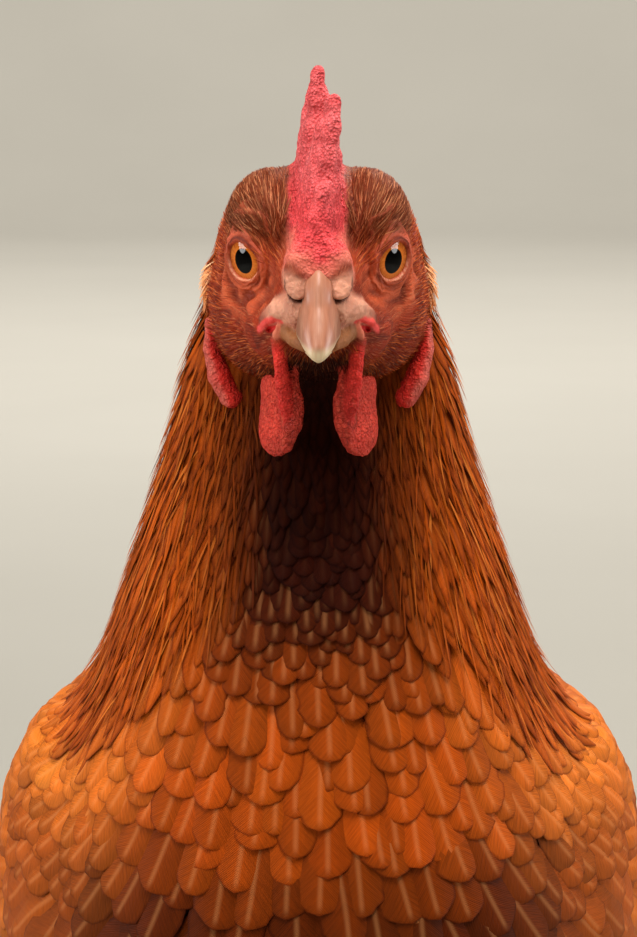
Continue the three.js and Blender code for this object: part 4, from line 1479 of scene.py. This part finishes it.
WING_LENGTH = WING_REAR - WING_FRONT
for side, sign in SIDES:
    wing = [f"wing_{side}"]
    k = np.arange(12) / 11
    y0 = WING_FRONT + WING_LENGTH * lerp(0.44, 0.5, k)
    y1 = WING_FRONT + WING_LENGTH * (0.78 + 0.205 * np.sin(math.pi * (0.12 + 0.7 * k)))
    share = 0.08 + 0.8 * k
    share_end = 0.2 + 0.6 * k
    flank_vanes(
        f"wing_quills_{side}", wing, sign, np.stack([y0, on_wing(y0, share)], -1),
        np.stack([y1, on_wing(y1, share_end)], -1), 17.5, -3.2, -0.5 - 0.16 * np.arange(12),
        blend(QUILL, 1 - k, BACK), point=0.3, bow=np.full(12, 1.0), seed=1, shaft=0.2,
    )
    rows = (
        ("greater", 0.38, 0.235, 13, 15.0, -2.6, -0.55, 0.8),
        ("middle", 0.28, 0.185, 14, 13.0, -2.5, -0.5, 0.55),
        ("middle_front", 0.2, 0.15, 16, 11.0, -2.5, -0.45, 0.35),
        ("lesser_rear", 0.13, 0.12, 18, 9.6, -2.4, -0.4, 0.2),
        ("lesser_front", 0.07, 0.1, 20, 8.6, -2.4, -0.35, 0.05),
    )
    for label, from_front, reach, number, width, low, high, brown in rows:
        j = np.arange(number) / (number - 1)
        local = np.random.default_rng(len(label) + 3)
        y0 = WING_FRONT + WING_LENGTH * (from_front + 0.05 * j) + local.normal(size=number) * 2.6
        y1 = y0 + WING_LENGTH * reach * (1 + 0.1 * local.normal(size=number))
        share = np.clip(0.02 + 0.96 * j + 0.01 * local.normal(size=number), 0.01, 0.99)
        drop = 0.015 + 0.05 * j
        tone = blend(lerp(SHOULDER, BACK, brown), 0.6 * j, THIGH)
        flank_vanes(
            f"wing_{label}_{side}", wing, sign, np.stack([y0, on_wing(y0, share)], -1),
            np.stack(
                [y1, on_wing(y1, np.clip(share + drop, 0, 0.99))], -1
            ), width, low, high, tone, seed=len(label),
            shaft=0.18,
        )

TAIL_ROOT = np.array([tail_low[1] + 12, tail_low[2] + 62])
TAIL_TIPS = np.array(
    [(132, 366), (148, 364), (161, 354), (170, 342), (173, 327), (170, 311), (160, 298)], float
)
TAIL_WIDTH = 27.0


def tail_tips(k):
    """The ends of the tail's feathers, counted from the topmost, or places between two of them."""
    return np.stack([np.interp(k, np.arange(len(TAIL_TIPS)), TAIL_TIPS[:, i]) for i in (0, 1)], -1)


for side, sign in SIDES:
    n = len(TAIL_TIPS)
    k = np.arange(n)
    start = TAIL_ROOT + np.stack([0.6 * k, -2.2 * k], -1)
    flank_vanes(
        f"tail_quills_{side}", ["tail"], sign, start, TAIL_TIPS,
        TAIL_WIDTH, -6.5, -0.4 - 0.22 * k,
        spread(TAIL, n), point=0.15, bow=2.0 - 0.8 * k, seed=3, columns=9, shaft=0.15, margin=0.5,
    )
    for layer, depth in enumerate((3.6, 7.0)):
        flank_vanes(
            f"tail_inner_{layer + 1}_{side}", ["tail"], sign, start,
            tail_tips(k + 0.5 * (1 - layer)) - 1.0 - layer, TAIL_WIDTH, -depth - 5, -depth, spread(TAIL, n),
            point=0.15, bow=2.0 - 0.8 * k, seed=11 + layer, shaft=0.1, margin=0.5,
        )

# The middle feathers of the tail lie across it, one over the next, and close its end.
n = 15
k = np.linspace(0, len(TAIL_TIPS) - 1, n)
start = TAIL_ROOT + np.stack([0.6 * k, -2.2 * k], -1)
yz = start[:, None] + (tail_tips(k) - 2.5 - start)[:, None] * FULL[None, :, None]
line = np.concatenate([0 * yz[..., :1], yz], -1)
ways = unit(np.gradient(line, axis=1))
norms = np.stack([0 * ways[..., 0], -ways[..., 2], ways[..., 1]], -1)
room = np.abs(flank(yz[..., 0], yz[..., 1], -1.6, 1)[..., 0])
half = np.clip(outline(FULL, np.full(n, 0.1)) * 15.0, 0.4, np.maximum(room, 0.5))
vanes(
    "tail_middle", ["tail"], line, ways, norms, half, varied(spread(TAIL, n), 12, 0.1, 0.06),
    flank_patch(start), columns=9, camber=0.14, roll=0.0, shaft=0.2, ragged=0.03,
)

for side, sign in SIDES:
    n = 2 * len(TAIL_TIPS)
    k = np.arange(n)
    local = np.random.default_rng(31)
    for label, near_share, far_share, width, brown in (
        ("rear", 0.16, 0.62, 19.0, 0.35), (
            "front", -0.12, 0.36, 15.0, 0.75
        ), ("base", -0.24, 0.14, 13.0, 0.75),
    ):
        start = TAIL_ROOT + np.stack([0.3 * k, -2.6 * k], -1)
        reach = tail_tips(k / 2) - start
        a = start + reach * near_share + local.normal(size=(n, 2)) * 1.5
        b = start + reach * (far_share + 0.04 * local.normal(size=n))[:, None]
        flank_vanes(
            f"tail_coverts_{label}_{side}", ["tail"], sign, a, b, width, -2.6, -0.3,
            spread(lerp(TAIL, BACK, brown), n), point=0.3, seed=7, shaft=0.15,
        )

# ---- The scales of the legs: broad ones down the front and over the toes, small ones behind and below ----
spots = skin_spots(50_000, 13, place[:, 2] < leg_top + 1)[0]
facing = leg_field.normal(spots)
down_leg, down_toe = np.zeros(spots.shape), np.zeros(spots.shape)
for side, sign in SIDES:
    mine = spots[:, 0] * sign > 0
    hock, foot = BONES[side]
    down_leg[mine] = unit(foot - hock)
    down_toe[mine] = unit((spots[mine] - foot) * np.array([1, 1, 0.1]))
on_toe = smooth(19, 11, spots[:, 2])[:, None]
scale_way = unit(lerp(down_leg, down_toe, on_toe))
scale_way = unit(scale_way - facing * dot(scale_way, facing)[..., None])
broad = np.maximum(
    smooth(0.35, 0.75, -facing[:, 1]) * (1 - on_toe[:, 0]), smooth(0.45, 0.8, facing[:, 2]) * on_toe[:, 0]
)
scale_gap = lerp(2.0, 4.0, broad) * lerp(1, 0.8, on_toe[:, 0])
index = spaced(spots, scale_gap)
index = index[np.abs(leg_field.at(spots[index])) < 1.0]
n = len(index)
PLATE = np.array([0, 0.3, 0.6, 0.82, 0.95, 1.0])
scale_gap = scale_gap[index]
line, ways, norms = trace(
    leg_field, spots[index], scale_way[index], 1.5 * scale_gap, PLATE,
    np.full(n, -0.25), np.full(n, 0.32), follow=0,
)
half = outline(PLATE, np.zeros(n)) * (scale_gap * lerp(1.25, 1.45, broad[index]))[:, None] / 2
bake = np.stack([0.5 + spots[index][:, 0] / 200, 0.5 + spots[index][:, 1] / 300], -1)
horny = lerp(SHANK, rgb(222, 182, 112), np.random.default_rng(4).uniform(size=(n, 1)))
vanes(
    "leg_scales", LEG_NODES, line, ways, norms, half, horny, bake, columns=5, camber=0.22, roll=0.0,
    shaft=0.0, ragged=0.0, material="scale",
)

# ---- The head's fine feathers ----
def head_lie(q):
    """Back from the beak, and with the form of brow and cheek."""
    away = unit(q - np.array([0, 26, -6]))
    return unit(np.array([0, -1.0, 0]) + 0.55 * away)


def ear_lie(q):
    """Down and outward over the ears and the sides of the nape."""
    return unit(np.stack([0.06 * np.sign(q[..., 0]), -0.3 + 0 * q[..., 1], -1 + 0 * q[..., 2]], -1))


def head_vanes(
    name, q, span, width, tint, low=0.05, high=0.45, shares=HAIR, stray=0.12, seed=0, lie=head_lie
):
    local = np.random.default_rng(seed)
    way = lie(q) + stray * local.normal(size=q.shape)
    n = len(q)
    tips = high * local.uniform(0.5, 1.6, n)
    line, ways, norms = trace(
        head_field, q, way, span, shares, np.full(n, low), tips, pull=lie, follow=0.15, rise=1
    )
    half = outline(shares, np.full(n, 0.8)) * width[:, None] / 2
    bake = np.stack([0.5 + np.arctan2(q[:, 0], q[:, 2] + 6) / (2 * math.pi), 0.5 - q[:, 1] / 100], -1)
    vanes(
        name, ["head"], from_head(line), to_world(ways), to_world(norms), half, tint, bake,
        columns=3, camber=0.35, roll=0.3, shaft=0.2, ragged=0.0, material="hair",
    )


spots, spot_vertex = skin_spots(150_000, 9, on_head > 0.5)
off_lids = np.where(over_eye > 0.1, smooth(0.8, 2.0, lid_reach), smooth(3.4, 6.4, lid_reach))
hairy = on_head * (1 - bare) * smooth(1.5, 3.0, parts["comb"]) * off_lids
hairy *= (1 - mask["puffs"]) * smooth(0.7, 0.4, mask["cere"]) * smooth(23.5, 20.5, head_y)
keep = hairy[spot_vertex] > 0.5
q = to_head(spots[keep])
q = q[(q[:, 2] > -38) & (q[:, 1] > -40)]
crown = np.maximum(smooth(2, 9, q[:, 2] + 0.25 * np.minimum(q[:, 1], 0)), smooth(-12, -22, q[:, 1]))
crown *= smooth(17, 9, q[:, 1])
gaps = lerp(0.62, 0.4, crown) * 1
index = spaced(q, gaps)
q, crown = q[index], crown[index]
local = np.random.default_rng(21)
n = len(q)
span = lerp(2.0, 6.4, crown) * local.uniform(0.75, 1.25, n) * lerp(1, 0.55, smooth(8, 16, q[:, 1]) * crown)
width = lerp(0.17, 0.24, crown) * local.uniform(0.8, 1.25, n) * 1
HAIR_DARK, HAIR_LIGHT = rgb(102, 42, 20), rgb(182, 114, 76)
hair = blend(HAIR_DARK, local.uniform(size=n) ** 3.0 * 0.9, HAIR_LIGHT)
bristle = blend(rgb(128, 34, 6), local.uniform(size=n) ** 2.1, rgb(222, 114, 60))
# The bristles darken down the lower face and almost to black under the chin: painted shade under the head.
bristle = bristle * lerp(1, 0.7, smooth(-10, -22, q[:, 2]))[:, None]
bristle = bristle * lerp(1, 0.1, smooth(-11, -17, q[:, 2]) * smooth(11, 6, np.abs(q[:, 0])))[:, None]
hair = blend(hair, 1 - crown, bristle)
head_vanes("head_coat", q, span, width, varied(hair, 8, 0.12, 0.05), seed=4)

# The tufts over and behind the ears, cream where the ear patch is.
headed = on_head[spot_vertex] > 0.5
ear = to_head(spots[headed])
x, ahead, up = ear.T
behind = np.maximum(smooth(-12, -15, ahead) * smooth(-31, -28, ahead), mask["puffs"][spot_vertex[headed]])
ear = ear[(np.abs(x) > 12) & (behind > 0.5) & (up < 3 - 0.3 * (ahead + 14)) & (up > -30)]
ear = ear[spaced(ear, np.full(len(ear), 0.7))]
n = len(ear)
x, ahead, up = ear.T
pale = smooth(-2.5, -5, up) * smooth(-22, -17, up) * smooth(-25, -21, ahead)
cream = lerp(rgb(246, 190, 140), rgb(222, 140, 80), local.uniform(size=(n, 1)))
cream = blend(rgb(150, 68, 28), pale, cream)
cream = blend(cream, smooth(-9, -16, up), rgb(198, 96, 30))
head_vanes(
    "ear_tufts", ear, lerp(
        local.uniform(5, 8, n), local.uniform(3, 4.5, n), pale
    ), local.uniform(0.45, 0.8, n),
    varied(
        cream, 9, 0.08, 0.04
    ), low=0.1, high=lerp(0.9, 1.1, pale), stray=0.06, seed=6, shares=SLIM, lie=ear_lie,
)

# ---- Studio ----
def lamp(name, place, at, size, power, colour=(1, 1, 1)):
    data = bpy.data.lights.new(name, "AREA")
    data.shape, data.size, data.energy, data.color = "DISK", size, power, colour
    thing = bpy.data.objects.new(name, data)
    thing.location = place
    thing.rotation_mode = "QUATERNION"
    thing.rotation_quaternion = (Vector(at) - Vector(place)).to_track_quat("-Z", "Y")
    bpy.context.scene.collection.objects.link(thing)
    return thing


head_m = Vector(HEAD * 0.001)
lamp("sky", (0.1, -0.55, 1.6), (0, -0.05, 0.3), 1.1, 28, (1.0, 0.98, 0.95))
lamp("fill", (-0.9, -1.4, 0.9), (0, 0, 0.25), 1.0, 9, (1.0, 0.97, 0.94))
lamp("rim", (0.5, 1.0, 1.3), (0, 0, 0.25), 0.9, 12, (1.0, 0.97, 0.92))
lamp("wash", (0, 2.2, 3.0), (0, 6.0, 0.6), 2.4, 250, (1.0, 0.98, 0.96))
for side, sign in SIDES:
    lamp(f"box_{side}", (1.15 * sign, -0.035, 0.405), (0, -0.14, 0.385), 0.34, 6).visible_camera = False

# A round floor that sweeps up into a wall.
BOWL, BEND, WALL = 6400, 1600, 4500
bend = np.linspace(0, math.pi / 2, 25)
sweep_r = np.concatenate([[0.5, 600], BOWL - BEND + BEND * np.sin(bend), [BOWL]])
sweep_z = np.concatenate([[0, 0], BEND - BEND * np.cos(bend), [WALL]])
turns = 96
around = np.arange(turns) / turns * 2 * math.pi
sweep = np.stack(
    [sweep_r[:, None] * np.cos(around), sweep_r[:, None] * np.sin(around), sweep_z[:, None] + 0 * around],
    -1
)
floor = mesh_object("floor", sweep.reshape(-1, 3), tube_faces(len(sweep_r), turns))
p = Paint("pale_floor", Roughness=0.9)
floor.data.materials.append(p.use(Base_Color=p.mix(p.noise(3.0), rgb(160, 156, 146), rgb(166, 162, 152))))
world = bpy.data.worlds.new("studio")
world.use_nodes = True
world.node_tree.nodes["Background"].inputs[0].default_value = (*rgb(214, 208, 196), 1)
world.node_tree.nodes["Background"].inputs[1].default_value = 0.36
bpy.context.scene.world = world
bpy.context.scene.view_settings.view_transform = "Standard"

# The camera looks at the hen's eyes from 0.7 m, a little above them, and points at the base of the neck.
camera = bpy.data.objects.new("camera", bpy.data.cameras.new("camera"))
bpy.context.scene.collection.objects.link(camera)
bpy.context.scene.camera = camera
ELEVATION, DISTANCE, DIP, LENS = math.radians(5), 0.7, math.radians(3.67), 123.7
camera.data.sensor_width = 36
camera.data.lens = LENS
camera.location = head_m + Vector((0, -math.cos(ELEVATION), math.sin(ELEVATION))) * DISTANCE
look = Vector((0, math.cos(ELEVATION + DIP), -math.sin(ELEVATION + DIP)))
camera.rotation_mode = "QUATERNION"
camera.rotation_quaternion = look.to_track_quat("-Z", "Y")
